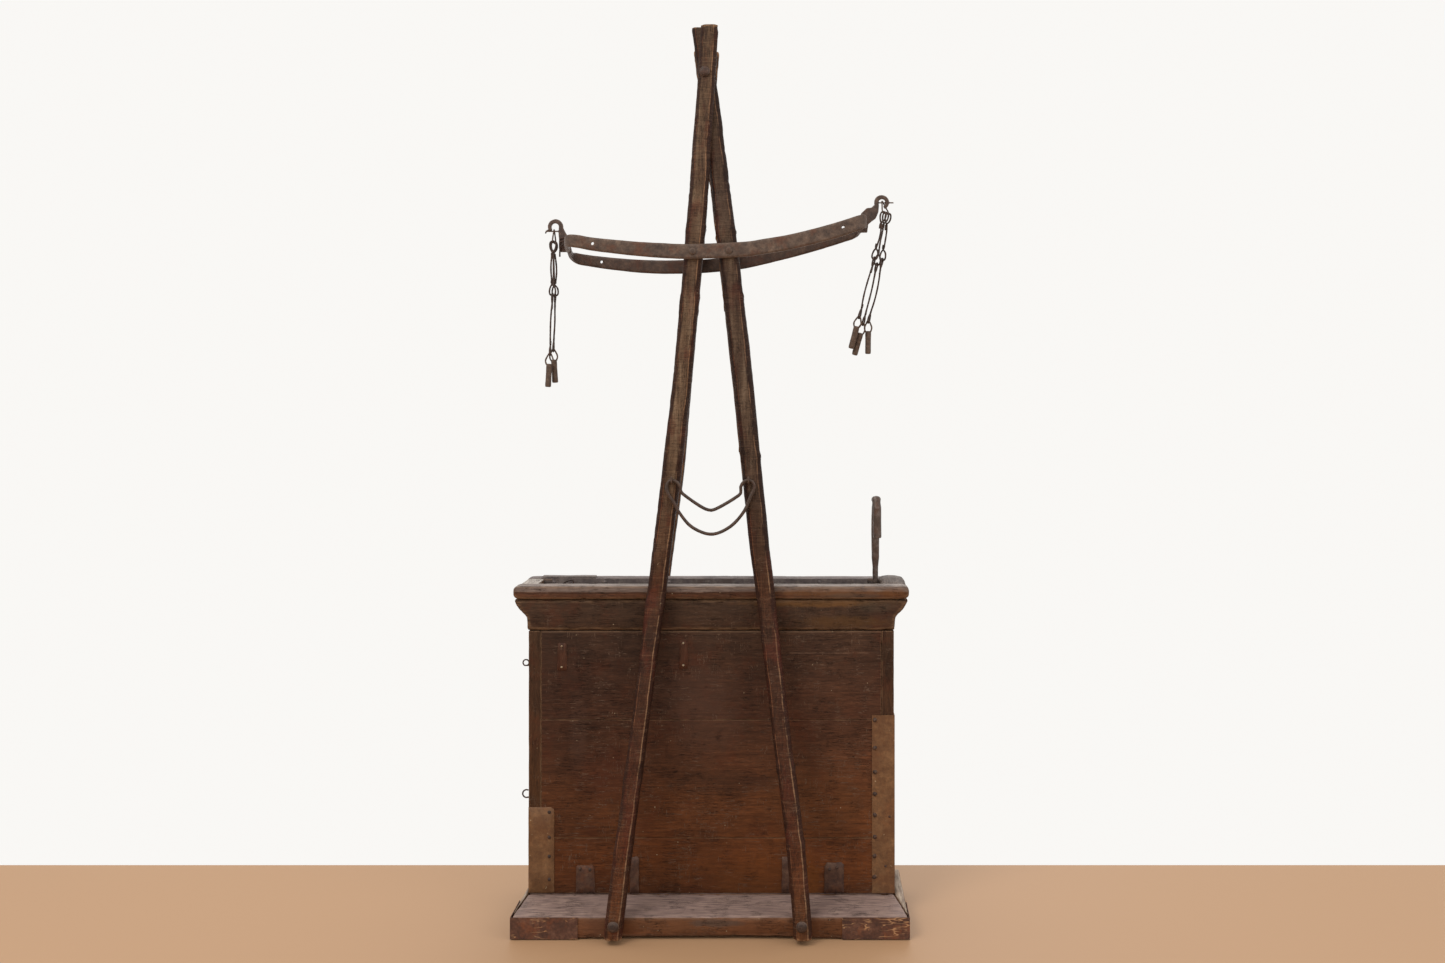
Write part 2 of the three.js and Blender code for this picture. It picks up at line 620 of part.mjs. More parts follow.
// ---------------------------------------------------------------- shackles and strands
// The shackle hangs on the pin: a rounded apex over the pin and a straight bar below it.
function shackleGeometry() {
  const rise = PIN_RADIUS + GAP + SHACKLE_WIRE;
  const { apex, halfBar, height, corner } = SHACKLE;
  const half = [
    [0, rise], [apex * 0.75, rise - apex * 0.4], [apex, rise - apex],
    [halfBar - 1.2, -height + corner], [halfBar - corner + 0.6, -height], [halfBar * 0.4, -height],
  ];
  const loop = [...half, ...half.slice(1).map(([y, z]) => [-y, z]).reverse()];
  return rod(smooth(loop.map(([y, z]) => [0, y, z]), true), 44, () => SHACKLE_WIRE, 6, true);
}

// A teardrop eye in the XZ or YZ plane; top and bottom are heights, and the round end is at roundZ.
function eye(plane, roundZ, pointZ) {
  const up = Math.sign(roundZ - pointZ);
  const { half } = EYES[plane];
  const sideLine = [
    [0, roundZ], [half * 0.75, roundZ - up * half * 0.35], [half, roundZ - up * half],
    [half * 0.55, mix(roundZ, pointZ, 0.68)], [half * 0.12, pointZ],
  ];
  const loop = [...sideLine, ...sideLine.slice(1).map(([a, z]) => [-a, z]).reverse()];
  const points = loop.map(([a, z]) => (plane === 'xz' ? [a, 0, z] : [0, a, z]));
  return rod(smooth(points, true), 22, () => WIRE, 6, true);
}

function shank(topZ, lowZ) {
  return new THREE.CylinderGeometry(WIRE * 1.25, WIRE * 1.25, topZ - lowZ, 6)
    .rotateX(Math.PI / 2).translate(0, 0, (topZ + lowZ) / 2);
}

function linkGeometry(topPlane, topZ, lowPlane, lowZ) {
  const topPoint = topZ - EYES[topPlane].length;
  const lowPoint = lowZ + EYES[lowPlane].length;
  return join([
    eye(topPlane, topZ, topPoint),
    eye(lowPlane, lowZ, lowPoint),
    shank(topPoint + 1, lowPoint - 1),
  ]);
}

function toggleGeometry() {
  const rise = WIRE * 2 + GAP;
  const { radius, length, top, halfBail } = PEG;
  const half = [
    [0, rise], [1.9, rise - 0.9], [3.4, rise - 4.2], [halfBail, -top + 2.4], [halfBail - 1, -top - 2.2], [2, -top - 3],
  ];
  const loop = [...half, ...half.slice(1).map(([x, z]) => [-x, z]).reverse()];
  const bail = rod(smooth(loop.map(([x, z]) => [x, 0, z]), true), 28, () => WIRE, 6, true);
  const peg = new THREE.CylinderGeometry(radius, radius * 0.94, length, 12)
    .rotateX(Math.PI / 2).translate(0, 0, -top - length / 2);
  return join([bail, peg]);
}

function turned(parent, x, z, tiltDegrees, y = 0) {
  const group = new THREE.Group();
  group.position.set(x, y, z);
  group.rotation.y = THREE.MathUtils.degToRad(tiltDegrees);
  parent.add(group);
  return group;
}

// Strands of each shackle: place along the bar, lengths of the two links, and how far each
// piece leans towards -X from plumb.
const STRANDS = {
  left: [
    { slot: -1, upper: 60, lower: 70, lean: [0.5, 2.4, 7.7] },
    { slot: 0, upper: 60, lower: 65, lean: [-1.2, 1.9, 1] },
  ],
  right: [
    { slot: -1, upper: 53, lower: 71, lean: [12.6, 15.6, 20] },
    { slot: 0, upper: 59, lower: 72, lean: [11, 14.2, 20.8] },
    { slot: 1, upper: 52.5, lower: 75, lean: [8.2, 13.6, 5] },
  ],
};
const SHACKLE_LEAN = { left: 0, right: -18 };
const SHACKLE_YAW = { left: 0, right: -25 }; // the bar's turn about the vertical

function buildStrands(hand) {
  const hook = hand === 'left' ? LEFT_HOOK : RIGHT_HOOK;
  const pinX = hook.hang;
  const pinZ = hook.pin.z;
  const hanging = new THREE.Group();
  hanging.position.set(pinX, 0, pinZ);
  hanging.rotation.z = THREE.MathUtils.degToRad(SHACKLE_YAW[hand]);
  rack.add(hanging);
  const shackle = turned(hanging, 0, 0, SHACKLE_LEAN[hand]);
  addNode(`${hand}_shackle`, shackleGeometry(), WIRE_IRON, shackle);

  const lean = THREE.MathUtils.degToRad(SHACKLE_LEAN[hand]);
  const barX = -Math.sin(lean) * SHACKLE.height;
  const barZ = -Math.cos(lean) * SHACKLE.height;
  const overBar = SHACKLE_WIRE + GAP + WIRE;
  STRANDS[hand].forEach((strand, i) => {
    const y = strand.slot * STRAND_PITCH;
    const [upperLean, lowerLean, pegLean] = strand.lean;
    const label = `${hand}_strand_${i + 1}`;
    const below = WIRE * 2 + GAP;
    const upper = turned(hanging, barX, barZ, upperLean, y);
    addNode(`${label}_upper_link`, linkGeometry('xz', overBar, 'xz', -strand.upper - below), WIRE_IRON, upper);
    const lower = turned(upper, 0, -strand.upper, lowerLean - upperLean);
    addNode(`${label}_lower_link`, linkGeometry('yz', 0, 'yz', -strand.lower), WIRE_IRON, lower);
    const toggle = turned(lower, 0, -strand.lower, pegLean - lowerLean);
    addNode(`${label}_toggle_peg`, toggleGeometry(), WIRE_IRON, toggle);
  });
}

// ---------------------------------------------------------------- wire ring on the front legs
function buildRing() {
  const line = [
    [-42.1, RING_Z], [-46, 491.6], [-47.7, 485.4], [-45.4, 477.5], [-39.9, 469.3], [-33.2, 457.2],
    [-19.4, 441.7], [2.2, 433.9], [22.7, 442.2], [38.3, 459.4], [44.9, 474.3], [49.7, 486.5],
    [47.7, 492.2], [43.2, RING_Z], [38.4, 492.4], [34.6, 486.5], [34.6, 479.5], [28.3, 474.3],
    [6.1, 461.6], [1.7, 460.5], [-5, 462.1], [-27.1, 476.6], [-31.8, 481], [-33, 487], [-37.4, 492.4],
  ];
  const curve = smooth(line.map(([x, z]) => [x, RING_Y, z]), true);
  addNode('wire_ring', rod(curve, 84, () => RING_WIRE, 8, true), WIRE_IRON);

  RING_NAILS_X.forEach((x, i) => {
    const z = RING_NAIL.z;
    const out = RING_Y - RING_WIRE - GAP - RING_NAIL.radius;
    const nail = smooth([
      [x, -LEG_FACE + 7, z], [x, RING_Y, z], [x, out + 1, z + 0.3], [x, out, z + 1.6], [x, out, z + 7.4],
    ]);
    addNode(`ring_nail_${i === 0 ? 'left' : 'right'}`, rod(nail, 14, () => RING_NAIL.radius, 8), IRON);
  });
}

function ringNailHole(x) {
  return cylinderY(x, RING_NAIL.z, -75, -LEG_FACE + 8, RING_NAIL.radius + BOLT_CLEARANCE, 12);
}

// ---------------------------------------------------------------- upright hook
function buildUprightHook() {
  const { x, y, radius, tongueX, tongueY, tongueZ, topZ } = HOOK_ROD;
  const bend = (y - tongueY) / 2;
  const springZ = topZ - bend;
  const arc = [0, 30, 60, 90, 120, 150, 180].map((degrees) => {
    const angle = THREE.MathUtils.degToRad(degrees);
    return [mix(x + 0.6, tongueX, degrees / 180), mix(y, tongueY, 0.5) + Math.cos(angle) * bend, springZ + Math.sin(angle) * bend];
  });
  const points = [
    [x, y, BASE_HEIGHT + GAP], [x, y, 150], [x, y, 300], [x, y, 400], [x, y, springZ - 14], ...arc,
    [tongueX, tongueY, mix(springZ, tongueZ, 0.5)], [tongueX + 0.2, tongueY, tongueZ],
  ];
  const taper = (t) => (t < 0.7 ? radius : mix(radius, radius + 0.6, Math.min(1, (t - 0.7) / 0.1)));
  addNode('upright_hook', rod(smooth(points), 44, taper, 10), IRON);

  const { z, height, inner, outer } = HOOK_STAPLE;
  const wallX = BOX_HALF_WIDTH - WALL - GAP;
  const shape = new THREE.Shape();
  shape.moveTo(wallX, y - outer);
  shape.lineTo(wallX, y - inner);
  shape.lineTo(x, y - inner);
  shape.absarc(x, y, inner, -Math.PI / 2, Math.PI / 2, true);
  shape.lineTo(wallX, y + inner);
  shape.lineTo(wallX, y + outer);
  shape.lineTo(x, y + outer);
  shape.absarc(x, y, outer, Math.PI / 2, -Math.PI / 2, false);
  addNode('upright_hook_staple', plateXY(shape, z, z + height), IRON);
}

// ---------------------------------------------------------------- assembly
buildPlinth();
buildBox();
buildBoxMetal();
buildMasts();
buildYoke();
buildStrands('left');
buildStrands('right');
buildRing();
buildUprightHook();


// The footprint is centred on the origin, and the lowest face stands on the floor.
const extent = new THREE.Box3().setFromObject(rack);
const middle = extent.getCenter(new THREE.Vector3());
rack.position.set(-middle.x, -middle.y, -extent.min.z);

export default rack;
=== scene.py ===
import json
import math

import bmesh
import bpy
import numpy as np
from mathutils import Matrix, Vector


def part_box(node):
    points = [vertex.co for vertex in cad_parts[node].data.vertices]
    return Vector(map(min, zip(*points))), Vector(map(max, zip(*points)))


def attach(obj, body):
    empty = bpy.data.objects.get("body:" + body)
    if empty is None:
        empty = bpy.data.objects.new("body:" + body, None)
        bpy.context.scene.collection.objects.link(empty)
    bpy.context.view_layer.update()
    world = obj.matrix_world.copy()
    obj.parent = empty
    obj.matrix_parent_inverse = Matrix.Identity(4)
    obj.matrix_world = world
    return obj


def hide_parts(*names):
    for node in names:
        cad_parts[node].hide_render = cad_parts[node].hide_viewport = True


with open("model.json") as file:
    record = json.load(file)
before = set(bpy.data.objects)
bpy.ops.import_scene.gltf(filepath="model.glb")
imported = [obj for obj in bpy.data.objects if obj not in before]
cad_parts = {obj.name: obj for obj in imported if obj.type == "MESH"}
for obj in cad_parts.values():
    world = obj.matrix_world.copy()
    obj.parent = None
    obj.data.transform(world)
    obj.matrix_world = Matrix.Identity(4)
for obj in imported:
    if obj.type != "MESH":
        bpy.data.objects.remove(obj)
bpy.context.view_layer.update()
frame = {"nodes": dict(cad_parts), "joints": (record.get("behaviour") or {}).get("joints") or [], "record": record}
NODES = frame["nodes"]
BODY_OF = {n: b for b, ns in frame["record"]["behaviour"]["bodies"].items() for n in ns}
JOINTS = {j["name"]: j for j in frame["joints"]}
ROOT = "box_and_masts"
MM = 0.001
SHIFT = 28.15  # the box's middle plane lies this far behind the origin, in mm

# ------------------------------------------------------------------ camera
camera = bpy.data.objects.new("camera", bpy.data.cameras.new("camera"))
bpy.context.scene.collection.objects.link(camera)
camera.data.sensor_width = 36
camera.data.lens = 31.39
camera.data.shift_x = -0.0536
camera.data.shift_y = -0.0633
camera.location = (0.1003, -1.43635, 0.594)
camera.rotation_euler = (math.radians(90), 0, 0)
bpy.context.scene.camera = camera
bpy.context.scene.view_settings.view_transform = "Standard"


# ------------------------------------------------------------------ numbers
def lattice(ix, iy, iz, seed):
    n = ix * 374761393 + iy * 668265263 + iz * 1440670441 + seed * 974711
    n = (n ^ (n >> 13)) * 1274126177
    n = n & 0x7FFFFFFF
    n = (n ^ (n >> 15)) * 668265263 & 0x7FFFFFFF
    return n / 0x7FFFFFFF * 2 - 1


def value_noise(p, seed=0):
    cell = np.floor(p).astype(np.int64)
    f = p - cell
    f = f * f * (3 - 2 * f)
    total = np.zeros(len(p))
    for dx in (0, 1):
        for dy in (0, 1):
            for dz in (0, 1):
                w = (f[:, 0] if dx else 1 - f[:, 0]) * (f[:, 1] if dy else 1 - f[:, 1]) * (f[:,
                    2] if dz else 1 - f[:, 2])
                total += w * lattice(cell[:, 0] + dx, cell[:, 1] + dy, cell[:, 2] + dz, seed)
    return total


def fbm(p, size, octaves=3, seed=0, stretch=(1, 1, 1)):
    """Noise between about -1 and 1; size is the width of the largest lump, in metres."""
    q = p / size / np.array(stretch)
    total, gain, scale = np.zeros(len(p)), 1.0, 1.0
    for k in range(octaves):
        total += gain * value_noise(q * scale + 17.3 * k, seed + k)
        gain *= 0.5
        scale *= 2.03
    return total / 1.6


# ------------------------------------------------------------------ meshes
def finish_piece(obj, body, replaces=(), material=None):
    if obj.name not in bpy.context.scene.collection.objects:
        bpy.context.scene.collection.objects.link(obj)
    if material:
        obj.data.materials.clear()
        obj.data.materials.append(material)
    if replaces:
        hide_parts(*replaces)
    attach(obj, body)
    return obj


def coordinates(mesh):
    co = np.zeros(len(mesh.vertices) * 3, np.float32)
    mesh.vertices.foreach_get("co", co)
    return co.reshape(-1, 3).astype(float)


def set_coordinates(mesh, co):
    mesh.vertices.foreach_set("co", co.astype(np.float32).ravel())
    mesh.update()


def normals_of(mesh):
    n = np.zeros(len(mesh.vertices) * 3, np.float32)
    mesh.vertex_normals.foreach_get("vector", n)
    return n.reshape(-1, 3).astype(float)


def neighbours(mesh):
    e = np.zeros(len(mesh.edges) * 2, np.int64)
    mesh.edges.foreach_get("vertices", e)
    e = e.reshape(-1, 2)
    count = np.bincount(e.ravel(), minlength=len(mesh.vertices)).astype(float)
    return e, np.maximum(count, 1)


def averaged(values, links):
    e, count = links
    if values.ndim == 1:
        total = np.bincount(e[:, 0], values[e[:, 1]], len(count)) + np.bincount(e[:, 1], values[e[:, 0]],
            len(count))
        return total / count
    return np.stack([averaged(values[:, k], links) for k in range(values.shape[1])], 1)


def voxel_copy(node, voxel):
    obj = bpy.data.objects.new("work", NODES[node].data.copy())
    bpy.context.scene.collection.objects.link(obj)
    remesh = obj.modifiers.new("remesh", "REMESH")
    remesh.mode = "VOXEL"
    remesh.voxel_size = voxel
    remesh.use_smooth_shade = True
    graph = bpy.context.evaluated_depsgraph_get()
    mesh = bpy.data.meshes.new_from_object(obj.evaluated_get(graph))
    bpy.data.objects.remove(obj)
    return mesh


def smooth_shade(mesh):
    mesh.polygons.foreach_set("use_smooth", [True] * len(mesh.polygons))


def put_attribute(mesh, name, values):
    layer = mesh.attributes.get(name) or mesh.attributes.new(name, "FLOAT", "POINT")
    layer.data.foreach_set("value", values.astype(np.float32))


def across_leg(co):
    """-1 at the left edge of a leg and 1 at its right edge, at each height."""
    step = 6 * MM
    slot = np.floor(co[:, 2] / step).astype(int)
    count = slot.max() + 1
    left, right = np.full(count, np.inf), np.full(count, -np.inf)
    np.minimum.at(left, slot, co[:, 0])
    np.maximum.at(right, slot, co[:, 0])
    full = np.isfinite(left)
    heights = (np.arange(count) + 0.5) * step
    low = np.interp(co[:, 2], heights[full], left[full])
    high = np.interp(co[:, 2], heights[full], right[full])
    return (co[:, 0] * 2 - low - high) / np.maximum(high - low, 1e-6)


def weathered(node, voxel, material, smooth=3, waves=(), chips=0.0, shape=None, swell=0.0, reshape=None):
    """A worn copy of a CAD node: edges rounded, faces uneven, convex edges chipped."""
    mesh = voxel_copy(node, voxel * MM)
    links = neighbours(mesh)
    co = coordinates(mesh)
    if reshape is not None:
        co = reshape(co)
    for _ in range(smooth):
        co = co * 0.5 + averaged(co, links) * 0.5
    set_coordinates(mesh, co)
    normal = normals_of(mesh)
    curve = ((co - averaged(co, links)) * normal).sum(1) / (voxel * MM)
    for _ in range(2):
        curve = curve * 0.4 + averaged(curve, links) * 0.6
    wear = np.clip(curve * 9, 0, 1)
    move = np.full(len(co), swell * MM)
    for size, amount, stretch, seed in waves:
        move += fbm(co, size * MM, 3, seed, stretch) * amount * MM
    if chips:
        bite = np.clip(fbm(co, 9 * MM, 3, 5) * 1.6 - 0.25, 0, 1)
        move -= bite * wear * chips * MM
    if shape is not None:
        move += shape(co, normal, wear)
    co = co + normal * move[:, None]
    set_coordinates(mesh, co)
    put_attribute(mesh, "wear", wear)
    put_attribute(mesh, "up", normal[:, 2])
    put_attribute(mesh, "facing", np.abs(normal[:, 1]))
    if node.endswith("_leg"):
        put_attribute(mesh, "across", across_leg(co))
    smooth_shade(mesh)
    obj = bpy.data.objects.new(node + "_worn", mesh)
    return finish_piece(obj, BODY_OF[node], [node], material)


def ticks(lo, hi, radius, step):
    inner = np.linspace(lo + radius * 2.5, hi - radius * 2.5, max(2, int((hi - lo) / step)))
    return np.concatenate([[lo, lo + radius * 0.5, lo + radius], inner, [hi - radius, hi - radius * 0.5, hi]])


def board(node, material, radius=0.6, step=7, waves=(), chips=0.0, extent=None):
    """A plain board that fills a CAD board's box, or an added block, with softened, slightly uneven edges."""
    low, high = (np.array(v, float) for v in (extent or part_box(node)))
    radius *= MM
    axes = [ticks(low[k], high[k], radius, step * MM) for k in range(3)]
    index, points, faces = {}, [], []

    def vertex(i):
        if i not in index:
            index[i] = len(points)
            points.append([axes[k][i[k]] for k in range(3)])
        return index[i]

    for k in range(3):
        a, b = [m for m in range(3) if m != k]
        for end in (0, len(axes[k]) - 1):
            for i in range(len(axes[a]) - 1):
                for j in range(len(axes[b]) - 1):
                    corners = []
                    for di, dj in ((0, 0), (1, 0), (1, 1), (0, 1)):
                        at = [0, 0, 0]
                        at[k], at[a], at[b] = end, i + di, j + dj
                        corners.append(vertex(tuple(at)))
                    faces.append(corners)
    co = np.array(points)
    core = np.clip(co, low + radius, high - radius)
    off = co - core
    length = np.linalg.norm(off, axis=1)
    co = np.where(length[:, None] > 0, core + off / np.maximum(length, 1e-9)[:, None] * radius, co)
    edges = ((co - low < radius * 1.5) | (high - co < radius * 1.5)).sum(1)
    mesh = bpy.data.meshes.new(node + "_board")
    mesh.from_pydata([tuple(p) for p in co], [], faces)
    recalc(mesh)
    normal = normals_of(mesh)
    move = np.zeros(len(co))
    for size, amount, stretch, seed in waves:
        move += fbm(co, size * MM, 3, seed, stretch) * amount * MM
    wear = np.clip(edges - 1.0, 0, 1)
    if chips:
        move -= np.clip(fbm(co, 9 * MM, 3, 5) * 1.6 - 0.3, 0, 1) * wear * chips * MM
    set_coordinates(mesh, co + normal * move[:, None])
    put_attribute(mesh, "wear", wear)
    put_attribute(mesh, "up", normal[:, 2])
    put_attribute(mesh, "facing", np.abs(normal[:, 1]))
    smooth_shade(mesh)
    if extent:
        return finish_piece(bpy.data.objects.new(node, mesh), ROOT, [], material)
    obj = bpy.data.objects.new(node + "_worn", mesh)
    return finish_piece(obj, BODY_OF[node], [node], material)


class Lump:
    """Vertices and faces of several closed bodies that make one piece."""

    def __init__(self):
        self.points, self.faces = [], []

    def add(self, points, faces):
        base = len(self.points)
        self.points += [tuple(p) for p in points]
        self.faces += [tuple(base + i for i in f) for f in faces]

    def tube(self, path, radius, sides=10, closed=False, steps=6, wobble=0.04, seed=0):
        """A wire along a smooth line through the points of path, in metres."""
        line = spline([Vector(p) for p in path], steps, closed)
        count = len(line)
        tangents = [((line[(i + 1) % count] if closed or i + 1 < count else line[i])
                     - (line[i - 1] if closed or i else line[i])).normalized() for i in range(count)]
        side = tangents[0].orthogonal().normalized()
        rings = []
        for i, (point, tangent) in enumerate(zip(line, tangents)):
            side = (side - tangent * side.dot(tangent)).normalized()
            other = tangent.cross(side)
            size = radius(i / (count - 1)) if callable(radius) else radius
            ring = []
            for k in range(sides):
                a = 2 * math.pi * k / sides
                r = size * (1 + wobble * math.sin(3.1 * i + k * 1.7 + seed)
                            + wobble * math.sin(0.9 * i + seed * 2.3))
                ring.append(point + (side * math.cos(a) + other * math.sin(a)) * r)
            rings.append(ring)
        points = [p for ring in rings for p in ring]
        faces = []
        for i in range(count if closed else count - 1):
            a, b = i * sides, (i + 1) % count * sides
            faces += [(a + k, a + (k + 1) % sides, b + (k + 1) % sides, b + k) for k in range(sides)]
        if not closed:
            faces.append(tuple(reversed(range(sides))))
            faces.append(tuple(range((count - 1) * sides, count * sides)))
        self.add(points, faces)

    def lathe(self, origin, axis, profile, sides=14, wobble=0.0, seed=0):
        """A turned body: profile is (distance along the axis, radius) from end to end."""
        axis = Vector(axis).normalized()
        side = axis.orthogonal().normalized()
        other = axis.cross(side)
        points, faces = [], []
        for j, (d, r) in enumerate(profile):
            for k in range(sides):
                a = 2 * math.pi * k / sides
                q = r * (1 + wobble * math.sin(2 * a + seed + j * 0.7)
                         + wobble * 0.6 * math.sin(5 * a + seed * 3 + j))
                points.append(Vector(origin) + axis * d + (side * math.cos(a) + other * math.sin(a)) * q)
        for j in range(len(profile) - 1):
            a, b = j * sides, (j + 1) * sides
            faces += [(a + k, a + (k + 1) % sides, b + (k + 1) % sides, b + k) for k in range(sides)]
        faces.append(tuple(reversed(range(sides))))
        faces.append(tuple(range((len(profile) - 1) * sides, len(profile) * sides)))
        self.add(points, faces)

    def nail(self, origin, axis, radius, seed=0):
        dome = [(-0.5, 0.55), (0, 1), (0.28, 0.96), (0.5, 0.7), (0.62, 0.3)]
        self.lathe(origin, axis, [(d * radius, r * radius) for d, r in dome], 12, 0.06, seed)

    def plate(self, outline, thickness, ragged=0.0, seed=0, warp=0.0, step=2.0 * MM):
        """A thin sheet in the XZ plane: outline is [(x, z)...] in metres, its front face lies at y = 0."""
        edge = []
        for i, (x, z) in enumerate(outline):
            x2, z2 = outline[(i + 1) % len(outline)]
            n = max(1, int(math.hypot(x2 - x, z2 - z) / step))
            edge += [(x + (x2 - x) * t / n, z + (z2 - z) * t / n) for t in range(n)]
        flat = np.array([(x, 0, z) for x, z in edge])
        centre = flat.mean(0)
        push = fbm(flat, 5 * MM, 3, seed) * ragged
        away = flat - centre
        away /= np.maximum(np.linalg.norm(away, axis=1), 1e-6)[:, None]
        flat = flat + away * push[:, None]
        inner = centre + (flat - centre) * 0.985
        n = len(flat)
        bend = fbm(flat, 30 * MM, 2, seed + 3) * warp
        front_rim = inner.copy()
        front_rim[:, 1] += bend
        lip = flat.copy()
        lip[:, 1] += bend + thickness * 0.3
        back = flat.copy()
        back[:, 1] += thickness
        middle = np.vstack([centre + (inner - centre) * 0.5])
        middle[:, 1] += fbm(middle, 20 * MM, 2, seed + 9) * warp
        points = np.vstack([back, lip, front_rim, middle, [centre]])
        faces = []
        for k in range(n):
            m = (k + 1) % n
            for a, b in ((0, 1), (1, 2), (2, 3)):
                faces.append((a * n + k, b * n + k, b * n + m, a * n + m))
            faces.append((3 * n + k, 4 * n, 3 * n + m))
        faces.append(tuple(range(n)))
        return points, faces

    def piece(self, name, body, material, replaces=()):
        mesh = bpy.data.meshes.new(name)
        mesh.from_pydata([tuple(p) for p in self.points], [], self.faces)
        mesh.validate()
        mesh.update()
        work = bpy.data.objects.new(name, mesh)
        recalc(mesh)
        smooth_shade(mesh)
        put_attribute(mesh, "wear", np.zeros(len(mesh.vertices)))
        put_attribute(mesh, "up", normals_of(mesh)[:, 2])
        put_attribute(mesh, "facing", np.abs(normals_of(mesh)[:, 1]))
        return finish_piece(work, body, replaces, material)


def recalc(mesh):
    bm = bmesh.new()
    bm.from_mesh(mesh)
    bmesh.ops.recalc_face_normals(bm, faces=bm.faces)
    bm.to_mesh(mesh)
    bm.free()
    mesh.update()


def spline(points, steps, closed=False):
    n = len(points)
    if n < 3 or steps < 2:
        return points
    line = []
    for i in range(n if closed else n - 1):
        if closed:
            a, b, c, d = (points[(i + k) % n] for k in (-1, 0, 1, 2))
        else:
            a, b, c, d = points[max(i - 1, 0)], points[i], points[i + 1], points[min(i + 2, n - 1)]
        for s in range(steps):
            t = s / steps
            line.append(0.5 * ((2 * b) + (c - a) * t + (2 * a - 5 * b + 4 * c - d) * t * t
                               + (3 * b - a - 3 * c + d) * t * t * t))
    if not closed:
        line.append(points[-1])
    return line


# ------------------------------------------------------------------ materials
def srgb(r, g, b, gain=1.0):
    def lin(c):
        c = c / 255
        return min(1.0, (c / 12.92 if c <= 0.04045 else ((c + 0.055) / 1.055) ** 2.4) * gain)
    return (lin(r), lin(g), lin(b), 1.0)


WOOD_GAIN = 0.7
IRON_GAIN = 0.85
# the gain below makes the colours of upward faces brighter than the wood's: painted light on the tops
LIT_TOP_GAIN = 1.08


def tone(r, g, b, gain=WOOD_GAIN):
    red, green, blue, alpha = srgb(r, g, b, gain)
    return (red, green * 0.97, blue * 0.88, alpha)


def metal(r, g, b):
    return tone(r, g, b, IRON_GAIN)


# colours of upward faces: their own grey, brightened by painted light
def weathered_and_lit_top(r, g, b):
    return srgb(r, g, b, LIT_TOP_GAIN)


